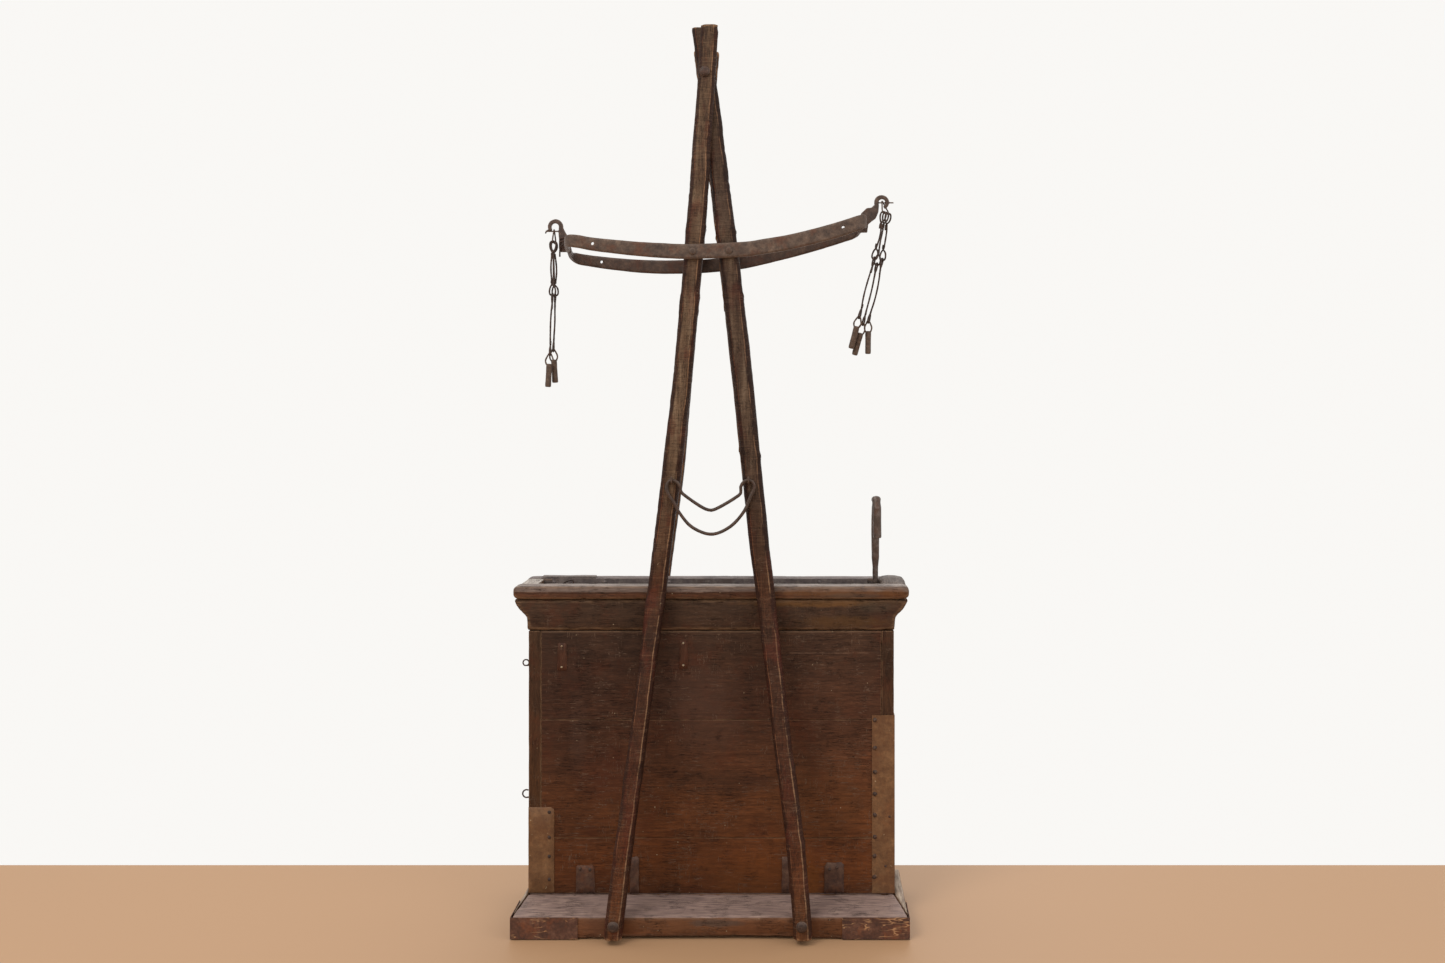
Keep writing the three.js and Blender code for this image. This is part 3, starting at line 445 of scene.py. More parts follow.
class Shade:
    def __init__(self, name):
        self.material = bpy.data.materials.new(name)
        self.material.use_nodes = True
        self.tree = self.material.node_tree
        self.bsdf = self.tree.nodes["Principled BSDF"]
        self.object = self.node("ShaderNodeTexCoord").outputs["Object"]

    def node(self, kind, **values):
        n = self.tree.nodes.new(kind)
        for key, value in values.items():
            setattr(n, key, value)
        return n

    def link(self, a, socket):
        if isinstance(a, bpy.types.NodeSocket):
            self.tree.links.new(a, socket)
        else:
            socket.default_value = a

    def coords(self, scale=(1, 1, 1), turn=(0, 0, 0), offset=(0, 0, 0)):
        n = self.node("ShaderNodeMapping")
        self.link(self.object, n.inputs["Vector"])
        n.inputs["Scale"].default_value = scale
        n.inputs["Rotation"].default_value = turn
        n.inputs["Location"].default_value = offset
        return n.outputs[0]

    def xyz(self):
        n = self.node("ShaderNodeSeparateXYZ")
        self.link(self.object, n.inputs[0])
        return n.outputs

    def noise(self, vector, scale, detail=3, rough=0.55, distort=0.0):
        n = self.node("ShaderNodeTexNoise")
        self.link(vector, n.inputs["Vector"])
        n.inputs["Scale"].default_value = scale
        n.inputs["Detail"].default_value = detail
        n.inputs["Roughness"].default_value = rough
        n.inputs["Distortion"].default_value = distort
        return n.outputs["Fac"]

    def cells(self, vector, scale):
        n = self.node("ShaderNodeTexVoronoi")
        self.link(vector, n.inputs["Vector"])
        n.inputs["Scale"].default_value = scale
        return n.outputs

    def math(self, op, a, b=0.0):
        n = self.node("ShaderNodeMath", operation=op)
        self.link(a, n.inputs[0])
        self.link(b, n.inputs[1])
        return n.outputs[0]

    def times(self, a, b):
        return self.math("MULTIPLY", a, b)

    def plus(self, a, b):
        return self.math("ADD", a, b)

    def minus(self, a, b):
        return self.math("SUBTRACT", a, b)

    def fade(self, value, lo, hi, top=1.0):
        n = self.node("ShaderNodeMapRange", interpolation_type="SMOOTHSTEP")
        self.link(value, n.inputs["Value"])
        n.inputs["From Min"].default_value = lo
        n.inputs["From Max"].default_value = hi
        n.inputs["To Max"].default_value = top
        return n.outputs[0]

    def ramp(self, value, stops):
        n = self.node("ShaderNodeValToRGB")
        self.link(value, n.inputs[0])
        ramp = n.color_ramp
        while len(ramp.elements) > 1:
            ramp.elements.remove(ramp.elements[-1])
        ramp.elements[0].position, ramp.elements[0].color = stops[0]
        for position, colour in stops[1:]:
            ramp.elements.new(position).color = colour
        return n.outputs[0]

    def mix(self, fac, a, b, kind="MIX"):
        n = self.node("ShaderNodeMix", data_type="RGBA", blend_type=kind)
        self.link(fac, n.inputs[0])
        self.link(a, n.inputs[6])
        self.link(b, n.inputs[7])
        return n.outputs[2]

    def tint(self, colour, mask, strength, rgb):
        """The wood colour rgb painted over colour where mask is 1."""
        return self.mix(self.times(mask, strength), colour, tone(*rgb))

    def vary(self, colour, strength, value, low, dark, high, light):
        """colour made darker where value is low and lighter where it is high."""
        stops = [(low, dark + (1,)), (0.5, (1, 1, 1, 1)), (high, light + (1,))]
        return self.mix(strength, colour, self.ramp(value, stops), "MULTIPLY")

    def attribute(self, name):
        return self.node("ShaderNodeAttribute", attribute_name=name).outputs["Fac"]

    def line(self, value, centre, width):
        """1 on a thin line where value equals centre."""
        gap = self.math("ABSOLUTE", self.minus(value, centre))
        return self.fade(gap, width, width * 0.3)

    def band(self, value, lo, hi, soft):
        return self.times(self.fade(value, lo - soft, lo + soft), self.fade(value, hi + soft, hi - soft))

    def patch(self, x, z, rx, rz, soft=0.5, rough=0.5):
        """1 inside an uneven oval on the front, in mm."""
        out = self.xyz()
        dx = self.times(self.minus(out[0], x * MM), 1 / (rx * MM))
        dz = self.times(self.minus(out[2], z * MM), 1 / (rz * MM))
        d = self.math("SQRT", self.plus(self.times(dx, dx), self.times(dz, dz)))
        uneven = self.noise(self.object, 90, 4, 0.7)
        d = self.plus(d, self.times(self.minus(uneven, 0.5), rough * 2))
        return self.fade(d, 1 + soft * 0.5, 1 - soft * 0.5)

    def done(self, colour, rough, height=None, depth=0.4, metallic=0.0, specular=0.5):
        self.link(colour, self.bsdf.inputs["Base Color"])
        self.link(rough, self.bsdf.inputs["Roughness"])
        self.bsdf.inputs["Metallic"].default_value = metallic
        self.bsdf.inputs["Specular IOR Level"].default_value = specular
        if height is not None:
            bump = self.node("ShaderNodeBump")
            bump.inputs["Strength"].default_value = 0.9
            bump.inputs["Distance"].default_value = depth * MM
            self.link(height, bump.inputs["Height"])
            self.link(bump.outputs[0], self.bsdf.inputs["Normal"])
        return self.material


GRAIN = {"x": (1, 9, 12), "y": (9, 1, 12), "z": (12, 9, 1)}


def wood(name, grain, stops, zspan, extras=None, red=0.35, edge=(150, 118, 92), scuff=(128, 104, 90),
         top=None, rough=0.62, scratchy=1.0, specks=1.0, cracks=1.0, wearing=0.55, spec=0.16,
         keen=(0.2, 0.75)):
    s = Shade(name)
    along = GRAIN[grain]
    stretched = s.coords(along)
    x, y, z = s.xyz()
    level = s.fade(z, *[v * MM for v in zspan])
    level.node.interpolation_type = "LINEAR"
    lo, hi = zspan
    colour = s.ramp(level, [((zz - lo) / (hi - lo), tone(*c)) for zz, c in stops])
    fine = s.noise(stretched, 130, 5, 0.65)
    broad = s.noise(stretched, 26, 4, 0.6, 0.6)
    blotch = s.noise(s.object, 16, 4, 0.6)
    stain = s.noise(s.coords((1, 1, 1), offset=(3.1, 1.7, 0.4)), 34, 5, 0.7)
    colour = s.vary(colour, 0.85, fine, 0.25, (0.42, 0.39, 0.37), 0.75, (1.6, 1.55, 1.5))
    colour = s.vary(colour, 0.8, broad, 0.3, (0.58, 0.55, 0.53), 0.7, (1.42, 1.4, 1.36))
    colour = s.vary(colour, 0.9, blotch, 0.3, (0.74, 0.72, 0.72), 0.7, (1.3, 1.27, 1.22))
    colour = s.mix(s.fade(stain, 0.5, 0.72, red), colour, tone(96, 46, 26))
    if extras:
        colour = extras(s, colour, x, y, z)
    # dark pores and cracks that follow the grain
    thin = s.noise(s.coords(tuple(a * (1 if a == 1 else 2.6) for a in along), offset=(0.3, 0.7, 0.2)), 34,
        3, 0.5, 0.2)
    crack = s.times(s.line(thin, 0.5, 0.014), s.fade(s.noise(s.object, 42, 2), 0.48, 0.6))
    crack = s.times(crack, cracks)
    colour = s.tint(colour, crack, 0.75, (30, 19, 13))
    # scuffs and scratches
    slant = s.coords((60, 3, 5.5), (0, 0.12, 0))
    slant2 = s.coords((4, 3, 70), (0, 0.07, 0))
    scratch = s.math("MAXIMUM",
                     s.times(s.line(s.noise(slant, 7, 2), 0.52, 0.012),
                         s.fade(s.noise(s.object, 55, 2), 0.56, 0.62)),
                     s.times(s.line(s.noise(slant2, 7, 2), 0.5, 0.016),
                         s.fade(s.noise(s.object, 47, 2), 0.52, 0.62)))
    colour = s.mix(s.times(scratch, 0.5 * scratchy), colour, tone(*scuff))
    haze = s.fade(s.noise(s.coords(along, offset=(0.9, 0.1, 0.5)), 60, 6, 0.8), 0.56, 0.74, 0.34 * scratchy)
    colour = s.mix(haze, colour, tone(*scuff))
    dots = s.cells(s.object, 210)
    speck = s.times(s.fade(dots["Distance"], 0.16, 0.08),
                   s.fade(s.noise(s.object, 150, 1), 0.66, 0.7))
    colour = s.mix(s.times(speck, 0.8 * specks), colour, tone(196, 176, 150))
    wear = s.attribute("wear")
    worn = s.times(s.fade(wear, *keen), s.fade(s.noise(stretched, 60, 4, 0.7), 0.36, 0.62, wearing))
    colour = s.mix(worn, colour, tone(*edge))
    # upward faces take the lighter top colours: partly their own grey weathering, partly painted light and sheen
    # on the tops
    if top:
        up = s.fade(s.attribute("up"), 0.45, 0.9)
        grey = s.ramp(s.noise(stretched, 40, 5, 0.7), [(0.28, weathered_and_lit_top(*top[0])), (0.5, weathered_and_lit_top(*top[1])),
            (0.72, weathered_and_lit_top(*top[2]))])
        colour = s.mix(up, colour, grey)
        colour = s.mix(s.times(s.times(crack, up), 0.9), colour, tone(40, 30, 28))
    height = s.plus(s.times(fine, 0.5), s.times(broad, 0.5))
    height = s.minus(height, s.times(crack, 0.8))
    height = s.minus(height, s.times(scratch, 0.25))
    roughness = s.plus(s.times(s.minus(blotch, 0.5), 0.35), rough)
    return s.done(colour, roughness, height, 0.55, 0.0, spec)


def iron(name, base, light, dark, rust, size=1.0, rough=0.62, metallic=0.25, extras=None, depth=0.25):
    s = Shade(name)
    a = s.noise(s.object, 120 / size, 5, 0.7)
    b = s.noise(s.object, 420 / size, 4, 0.7)
    c = s.noise(s.coords(offset=(0.5, 0.2, 0.9)), 60 / size, 4, 0.65)
    colour = s.ramp(a, [(0.25, metal(*dark)), (0.5, metal(*base)), (0.75, metal(*light))])
    colour = s.mix(s.fade(c, 0.5, 0.68, 0.7), colour, metal(*rust))
    colour = s.vary(colour, 0.8, b, 0.3, (0.68, 0.66, 0.65), 0.72, (1.4, 1.36, 1.3))
    pits = s.cells(s.object, 900 / size)
    pit = s.times(s.fade(pits["Distance"], 0.3, 0.12), s.fade(s.noise(s.object, 200 / size, 2), 0.52, 0.62))
    colour = s.mix(s.times(pit, 0.6), colour, metal(*[v * 0.55 for v in dark]))
    if extras:
        colour = extras(s, colour)
    wear = s.fade(s.attribute("wear"), 0.25, 0.8, 0.55)
    colour = s.mix(wear, colour, metal(*light))
    height = s.minus(s.plus(s.times(a, 0.7), s.times(b, 0.4)), s.times(pit, 0.5))
    roughness = s.plus(s.times(s.minus(c, 0.5), 0.5), rough)
    return s.done(colour, roughness, height, depth, metallic, 0.5)


def blend_patches(s, colour, patches):
    for x, z, rx, rz, c, strength in patches:
        colour = s.mix(s.times(s.patch(x, z, rx, rz, 0.9, 0.7), strength), colour, tone(*c))
    return colour


def front_extras(s, colour, x, y, z):
    side = s.fade(x, -0.19, 0.19)
    colour = s.mix(0.9, colour, s.ramp(side, [(0, (0.82, 0.81, 0.82, 1)), (0.45, (0.98, 0.98, 0.98, 1)),
        (1, (1.18, 1.17, 1.13, 1))]), "MULTIPLY")
    colour = blend_patches(s, colour, [
        (-20, 255, 40, 26, (92, 66, 56), 0.35), (-5, 215, 40, 30, (88, 64, 54), 0.35),
        (-150, 205, 9, 40, (96, 70, 60), 0.30), (-120, 160, 30, 30, (84, 42, 30), 0.35),
        (20, 150, 60, 12, (58, 40, 32), 0.45), (-40, 60, 60, 24, (98, 56, 28), 0.35),
        (120, 130, 50, 40, (96, 60, 34), 0.30), (60, 45, 60, 22, (110, 62, 26), 0.45),
        (-125, 45, 30, 20, (92, 50, 24), 0.35), (110, 40, 12, 24, (122, 70, 26), 0.45),
    ])
    wander = s.times(s.minus(s.noise(s.object, 60, 3), 0.5), 0.002)
    seam = s.times(s.line(s.plus(z, wander), 0.2967, 0.0006), s.fade(x, 0.055, 0.075))
    seam = s.times(seam, s.fade(s.noise(s.object, 40, 2), 0.4, 0.55))
    colour = s.tint(colour, seam, 0.7, (138, 108, 92))
    stile = s.times(s.line(x, -0.1922, 0.0008), s.fade(s.noise(s.object, 30, 2), 0.35, 0.5))
    colour = s.tint(colour, stile, 0.5, (128, 100, 80))
    lip = s.band(z, 0.3195, 0.3215, 0.0004)
    colour = s.tint(colour, lip, 0.4, (120, 96, 80))
    return colour


box_front = wood("box_front_wood", "x", [
    (20, (84, 48, 26)), (60, (111, 63, 33)), (95, (102, 60, 34)), (130, (102, 61, 36)), (170, (90, 56, 38)),
    (220, (81, 51, 37)), (270, (76, 50, 38)), (325, (72, 51, 40))], (0, 400), front_extras, scratchy=1.5,
    specks=1.3)
# the frieze's lowest few mm are darker: a painted shadow line under the proud board
frieze_wood = wood("frieze_wood", "x", [
    (318, (46, 30, 21)), (325, (68, 46, 33)), (340, (74, 53, 41)), (352, (76, 56, 44)), (357, (66, 46, 34)),
    (360, (92, 70, 54))], (300, 400),
    lambda s, colour, x, y, z: blend_patches(s, colour, [
        (120, 353, 70, 4, (132, 92, 52), 0.6), (150, 332, 45, 6, (104, 72, 40), 0.5),
        (185, 350, 20, 6, (86, 74, 62), 0.5)]))
box_side = wood("box_side_wood", "z", [
    (20, (80, 50, 30)), (120, (80, 52, 32)), (220, (78, 52, 36)), (325, (72, 51, 37))], (0, 400), red=0.3)
back_wood = wood("back_wood", "x", [
    (20, (74, 46, 28)), (120, (80, 52, 34)), (220, (76, 52, 38)), (372, (70, 52, 42))], (0, 400), red=0.3)


def rail_extras(s, colour, x, y, z):
    sway = s.times(s.minus(s.noise(s.coords((1, 1, 1)), 22, 3), 0.5), 0.004)
    zz = s.plus(z, sway)
    front = s.fade(y, 0.02, -0.01)
    grey = s.times(s.fade(zz, 0.3655, 0.3675), front)
    colour = s.mix(s.times(grey, 0.85), colour,
                   s.ramp(s.noise(s.coords((1, 9, 12)), 60, 5, 0.7),
                       [(0.3, tone(100, 86, 84)), (0.5, tone(134, 118, 114)), (0.7, tone(160, 144, 138))]))
    dark = s.times(s.line(zz, 0.3652, 0.0009), front)
    colour = s.tint(colour, dark, 0.5, (52, 34, 26))
    foot = s.times(s.line(z, 0.3588, 0.0009), front)
    colour = s.tint(colour, foot, 0.6, (138, 108, 86))
    return blend_patches(s, colour, [(130, 366, 60, 4, (140, 96, 62), 0.5),
        (205, 365, 16, 5, (128, 82, 44), 0.5),
                                     (160, 362, 30, 3, (92, 82, 74), 0.4)])


TOP_GREY = ((76, 66, 62), (128, 115, 108), (166, 153, 143))
front_rail_wood = wood("front_rail_wood", "x", [
    (355, (96, 62, 44)), (366, (92, 60, 44)), (375, (112, 94, 86))], (340, 390), rail_extras, top=TOP_GREY)
BACK_TOP = ((78, 69, 69), (108, 97, 95), (138, 125, 118))
back_rail_wood = wood("back_rail_wood", "x", [
    (350, (92, 80, 78)), (365, (100, 90, 90)), (375, (98, 88, 88))], (340, 390), top=BACK_TOP, red=0.1)
END_TOP = ((100, 90, 84), (160, 150, 141), (200, 192, 184))
end_rail_wood = wood("end_rail_wood", "y", [
    (355, (88, 62, 46)), (366, (112, 88, 72)), (375, (140, 124, 112))], (340, 390), top=END_TOP,
    edge=(150, 136, 124))


def lobe_extras(s, colour, x, y, z):
    streak = s.noise(s.coords((12, 1, 12)), 60, 5, 0.72)
    colour = s.mix(s.fade(s.attribute("up"), 0.2, 0.7), colour,
                   s.ramp(streak, [(0.36, tone(48, 40, 36)), (0.47, tone(82, 71, 65)),
                       (0.57, tone(112, 97, 88)), (0.68, tone(168, 154, 142))]))
    rust = s.times(s.fade(s.noise(s.coords((3, 1, 3), offset=(1, 0, 0)), 50, 3), 0.5, 0.6), 0.5)
    colour = s.mix(rust, colour, tone(132, 86, 54))
    scuff = s.times(s.fade(y, 0.03, -0.01), s.fade(streak, 0.45, 0.6))
    return s.tint(colour, scuff, 0.5, (176, 158, 142))


lobe_wood = wood("lobe_wood", "y", [
    (355, (84, 58, 42)), (366, (98, 76, 62)), (375, (112, 98, 90))], (340, 390), lobe_extras,
    top=((50, 42, 38), (84, 72, 65), (122, 108, 98)), edge=(118, 102, 92))


def plinth_extras(s, colour, x, y, z):
    return blend_patches(s, colour, [
        (-30, 16, 60, 7, (118, 78, 52), 0.5), (60, 12, 40, 6, (108, 66, 40), 0.5),
        (-95, 14, 14, 12, (118, 72, 44), 0.6),
        (128, 12, 22, 14, (104, 64, 38), 0.6), (-120, 14, 16, 12, (116, 80, 62), 0.45),
        (10, 18, 26, 4, (86, 80, 78), 0.5),
        (-185, 12, 30, 14, (92, 56, 44), 0.5)])


PLINTH_TOP = ((90, 76, 72), (134, 112, 104), (162, 138, 124))
plinth_wood = wood("plinth_wood", "x", [
    (0, (78, 49, 31)), (4, (108, 67, 43)), (14, (120, 78, 54)), (25, (122, 84, 62))], (0, 40), plinth_extras,
    top=PLINTH_TOP, cracks=1.4, edge=(140, 110, 92))
# its upward faces take a cream tone: painted light falling on the side ledges
plinth_side = wood("plinth_side_wood", "y", [
    (0, (70, 44, 30)), (14, (98, 68, 50)), (25, (112, 84, 66))], (0, 40),
    top=((104, 88, 78), (150, 132, 116), (188, 172, 152)))


def mast_extras(s, colour, x, y, z):
    upper = s.fade(z, 0.36, 0.52)
    wander = s.times(s.minus(s.noise(s.coords((1, 1, 0.5)), 50, 3), 0.5), 0.35)
    across = s.plus(s.attribute("across"), wander)
    off = s.math("ABSOLUTE", s.plus(across, 0.03))
    face = s.fade(s.attribute("facing"), 0.8, 0.95)
    centre = s.times(s.fade(off, 0.56, 0.4), face)
    streak = s.noise(s.coords((1, 1, 0.1)), 110, 5, 0.75)
    grey = s.ramp(streak, [(0.36, tone(78, 58, 46)), (0.46, tone(118, 93, 73)), (0.55, tone(140, 114, 92)),
        (0.68, tone(172, 146, 122))])
    blotch = s.fade(s.noise(s.coords((1, 1, 0.5), offset=(0, 3, 1)), 34, 4), 0.46, 0.6)
    grey = s.mix(s.times(blotch, 0.6), grey, tone(92, 66, 50))
    tan = s.mix(upper, s.ramp(streak, [(0.38, tone(84, 46, 26)), (0.52, tone(108, 66, 40)),
        (0.68, tone(132, 88, 58))]), grey)
    colour = s.mix(s.times(centre, s.fade(z, 0.3, 0.55, 0.75)), colour, tan)
    # the legs' sides and the faces turned away from the front are painted dark: painted shade
    shaded_flank = s.math("MAXIMUM", s.fade(off, 0.42, 0.62), s.fade(s.attribute("facing"), 0.9, 0.75))
    colour = s.tint(colour, shaded_flank, 0.8, (54, 27, 17))
    # thin light lines along both arrises: painted highlights
    arris_highlight = s.times(s.line(across, 0.56, 0.09), s.fade(s.noise(s.coords((1, 1, 0.3)), 70, 4, 0.7), 0.38,
        0.55))
    colour = s.tint(colour, arris_highlight, 0.75, (176, 136, 106))
    arris_highlight = s.times(s.line(across, -0.6, 0.06), s.fade(s.noise(s.coords((1, 1, 0.3), offset=(2, 1, 3)), 70,
        4, 0.7), 0.46, 0.6))
    colour = s.tint(colour, arris_highlight, 0.6, (158, 104, 74))
    ruddy = s.times(s.fade(s.noise(s.coords((1, 1, 0.35), offset=(0.7, 0, 0.2)), 60, 3), 0.52, 0.66), 0.5)
    colour = s.mix(ruddy, colour, tone(98, 42, 26))
    rings = s.noise(s.coords((1, 1, 16)), 26, 4, 0.75, 1.0)
    colour = s.mix(s.times(s.line(rings, 0.5, 0.035), 0.55), colour, tone(34, 21, 15))
    return s.mix(s.times(s.line(rings, 0.6, 0.02), 0.3), colour, tone(150, 122, 98))


def right_mast_extras(s, colour, x, y, z):
    colour = mast_extras(s, colour, x, y, z)
    return s.mix(s.fade(z, 0.34, 0.48), colour, (0.68, 0.68, 0.72, 1), "MULTIPLY")


MAST_STOPS = [
    (0, (104, 66, 42)), (90, (98, 55, 31)), (170, (84, 48, 31)), (250, (76, 46, 31)), (370, (78, 50, 36)),
    (470, (78, 60, 47)), (600, (92, 72, 58)), (720, (92, 72, 60)), (1002, (86, 68, 56))]
MAST_WEAR = dict(edge=(176, 134, 102), red=0.4, wearing=0.9, scratchy=1.0, specks=0.7, keen=(0.5, 0.95))
mast_wood = wood("mast_wood", "z", MAST_STOPS, (0, 1002), mast_extras, **MAST_WEAR)
right_mast_wood = wood("right_mast_wood", "z", MAST_STOPS, (0, 1002), right_mast_extras, **MAST_WEAR)

strap_iron = iron("strap_iron", (88, 71, 62), (122, 102, 90), (54, 41, 36), (100, 64, 48))
rear_strap_iron = iron("rear_strap_iron", (74, 56, 48), (100, 78, 66), (48, 35, 30), (84, 52, 40))
hook_iron = iron("hook_iron", (78, 62, 56), (112, 93, 84), (46, 36, 33), (86, 60, 49), 0.8)
upright_iron = iron("upright_iron", (84, 70, 64), (128, 116, 116), (54, 44, 42), (92, 64, 52), 0.8, 0.5, 0.35)
wire_iron = iron("wire_iron", (66, 51, 45), (98, 78, 68), (40, 31, 28), (80, 52, 40), 0.6)
nail_iron = iron("nail_iron", (66, 48, 42), (112, 88, 74), (36, 28, 26), (84, 52, 38), 0.5)
peg_iron = iron("peg_iron", (92, 75, 65), (124, 103, 90), (56, 43, 38), (86, 60, 48), 0.5)
band_grey = iron("band_grey", (112, 102, 104), (144, 134, 132), (82, 76, 80), (102, 88, 84), 1.6, 0.5, 0.3)


def golden(s, colour):
    flake = s.fade(s.noise(s.coords((1, 1, 1.6)), 150, 5, 0.75), 0.6, 0.68)
    where = s.fade(s.noise(s.object, 60, 2), 0.48, 0.6)
    colour = s.mix(s.times(s.times(flake, where), 0.85), colour, metal(190, 136, 92))
    stroke = s.line(s.noise(s.coords((4, 3, 22), (0, 0.5, 0)), 7, 2), 0.5, 0.02)
    return s.mix(s.times(s.times(stroke, where), 0.7), colour, metal(206, 160, 118))


corner_iron = iron("corner_iron", (92, 60, 48), (128, 92, 76), (56, 38, 34), (124, 70, 42), 1.4,
    extras=golden)
rusty_plate = iron("rusty_plate", (82, 54, 42), (112, 84, 68), (50, 34, 30), (104, 62, 38), 1.2)


def tin_extras(s, colour):
    grime = s.fade(s.noise(s.object, 40, 4, 0.7), 0.5, 0.66, 0.6)
    colour = s.mix(grime, colour, metal(98, 62, 36))
    dots = s.cells(s.object, 260)
    speck = s.times(s.fade(dots["Distance"], 0.2, 0.1), s.fade(s.noise(s.object, 170, 1), 0.62, 0.68))
    return s.mix(s.times(speck, 0.7), colour, metal(214, 196, 168))


tin = iron("tin", (118, 84, 56), (142, 106, 74), (92, 62, 40), (120, 78, 46), 1.8, 0.5, 0.2, tin_extras, 0.15)

# ------------------------------------------------------------------ wooden pieces


def round_ends(co):
    """The rail's two ends rounded over, as hands have worn them."""
    reach = 6 * MM
    end = np.abs(co[:, 0]).max()
    t = np.clip((np.abs(co[:, 0]) - (end - reach)) / reach, 0, 1)
    middle = (co[:, 2].max() + co[:, 2].min()) / 2
    co = co.copy()
    co[:, 2] = middle + (co[:, 2] - middle) * np.sqrt(1 - 0.8 * t * t)
    return co


BOARD_WAVE = [(90, 0.5, (3, 1, 1), 3), (14, 0.14, (4, 1, 1), 8)]
for node in ("front_board_lower", "front_board_middle", "front_board_upper"):
    board(node, box_front, 0.35, 6, BOARD_WAVE[1:], 0.4)
board("back_panel", back_wood, 0.6, 8, BOARD_WAVE, 0.5)
for node in ("left_end_wall", "right_end_wall"):
    board(node, box_side, 0.6, 7, BOARD_WAVE[1:], 0.6)
for node in ("front_frieze", "back_frieze"):
    weathered(node, 2.2, frieze_wood if node[0] == "f" else back_wood, 2, BOARD_WAVE, 1.0)
weathered("front_top_rail", 1.7, front_rail_wood, 3, [(60, 0.5, (2, 1, 1), 4), (9, 0.22, (4, 1, 1), 9)],
    1.4, reshape=round_ends)
weathered("back_top_rail", 1.9, back_rail_wood, 3, [(60, 0.5, (2, 1, 1), 6), (9, 0.22, (4, 1, 1), 5)], 1.4,
    reshape=round_ends)


def lobe(co, normal, wear):
    rise = np.clip(1 - ((co[:, 0] - 0.206) / 0.02) ** 2, 0, 1) * np.clip((co[:, 1] + 0.002) / 0.03, 0, 1)
    return rise * np.clip(normal[:, 2], 0, 1) * 4.5 * MM


END_WAVES = [(30, 0.7, (1, 2, 1), 14), (8, 0.3, (1, 3, 1), 15)]
weathered("left_end_rail", 1.5, end_rail_wood, 4, END_WAVES, 1.6)
weathered("right_end_rail", 1.5, lobe_wood, 4, END_WAVES, 1.6, lobe)
weathered("base_front_board", 2.0, plinth_wood, 3, [(50, 0.9, (2, 1, 1), 21), (12, 0.3, (4, 1, 1), 22)], 2.0)
for node in ("base_left_board", "base_right_board"):
    weathered(node, 2.2, plinth_side, 3, [(40, 0.7, (1, 2, 1), 25), (10, 0.3, (1, 4, 1), 26)], 2.0)
weathered("base_core", 3.4, plinth_wood, 1)

STOPS = {"left": [(772, 9), (690, 13), (355, 12), (168, 10), (96, 8)],
    "right": [(772, 9), (697, 14), (318, 12), (520, 9), (180, 10), (100, 8)]}


def mast_shape(hand, seed):
    def shape(co, normal, wear):
        slant = np.clip((0.93 - np.abs(normal[:, 1])) / 0.3, 0,
            1) * np.clip((np.abs(normal[:, 1]) - 0.3) / 0.2, 0, 1)
        swell = np.zeros(len(co))
        for z, half in STOPS[hand]:
            swell += np.exp(-((co[:, 2] - z * MM) / (half * MM)) ** 2)
        ripple = fbm(co, 6 * MM, 2, seed, (3, 3, 1)) * 0.18 * MM
        return slant * swell * 1.5 * MM + ripple
    return shape


for place in ("front", "rear"):
    for hand in ("left", "right"):
        seed = 31 if place == "front" else 47
        weathered(f"{place}_{hand}_leg", 1.75 if place == "front" else 2.0,
            mast_wood if hand == "left" else right_mast_wood, 2,
                  [(70, 0.7, (1, 1, 1.5), seed), (16, 0.45, (1, 1, 2), seed + 2)], 1.6,
                  mast_shape(hand, seed))

# ------------------------------------------------------------------ iron pieces
STRAP_Y = 64.9  # from the box's middle plane to the middle of a strap, in mm
STRAP_LINES = {
    "front": [(-168.5, -2.4, 758), (-166, -28, 759), (-162.8, -48, 760), (-160, -58, 760.2),
        (-154.5, -63.4, 760), (-146, -STRAP_Y, 759),
              (-132, -STRAP_Y, 756.3), (-105, -STRAP_Y, 753.2), (-79, -STRAP_Y, 750.7),
              (-50, -STRAP_Y, 748.8), (-21, -STRAP_Y, 747.9),
              (34, -STRAP_Y, 750), (60, -STRAP_Y, 753.3), (87, -STRAP_Y, 757.9), (114, -STRAP_Y, 764.2),
              (140, -STRAP_Y, 771.2),
              (158, -64.6, 777), (167.5, -62.5, 780.3), (172.6, -55, 782.8), (174.2, -30, 785),
              (174, -2.4, 786.6)],
    "rear": [(-168.5, 2.4, 758), (-172, 28, 756.6), (-174, 48, 755.4), (-172, 58, 754.2),
        (-166.5, 63.4, 752.6), (-158, STRAP_Y, 751.3),
             (-142, STRAP_Y, 749), (-126, STRAP_Y, 747), (-96, STRAP_Y, 744.4), (-67, STRAP_Y, 743.3),
             (-38, STRAP_Y, 743.6), (-10, STRAP_Y, 744.8),
             (28, STRAP_Y, 748.9), (57, STRAP_Y, 755), (86, STRAP_Y, 762.1), (115, STRAP_Y, 770.3),
             (144, STRAP_Y, 779.1),
             (156, 64.6, 783), (164.5, 62.5, 785.6), (170.4, 55, 787.6), (172.8, 30, 787.6),
             (174, 2.4, 786.6)],
}
STRAP_HOLES = {"front": (-130.1, 148.4), "rear": (-140.4,)}
STRAP_HALF_THICK = 2.0 * MM
STRAP_ROUND = 1.0 * MM  # radius of its long edges
STRAP_HALF = (6.8, 8.3, 8.8)  # half its height at the left end, the middle and the right end, in mm
HOLE_RADIUS = 1.8 * MM


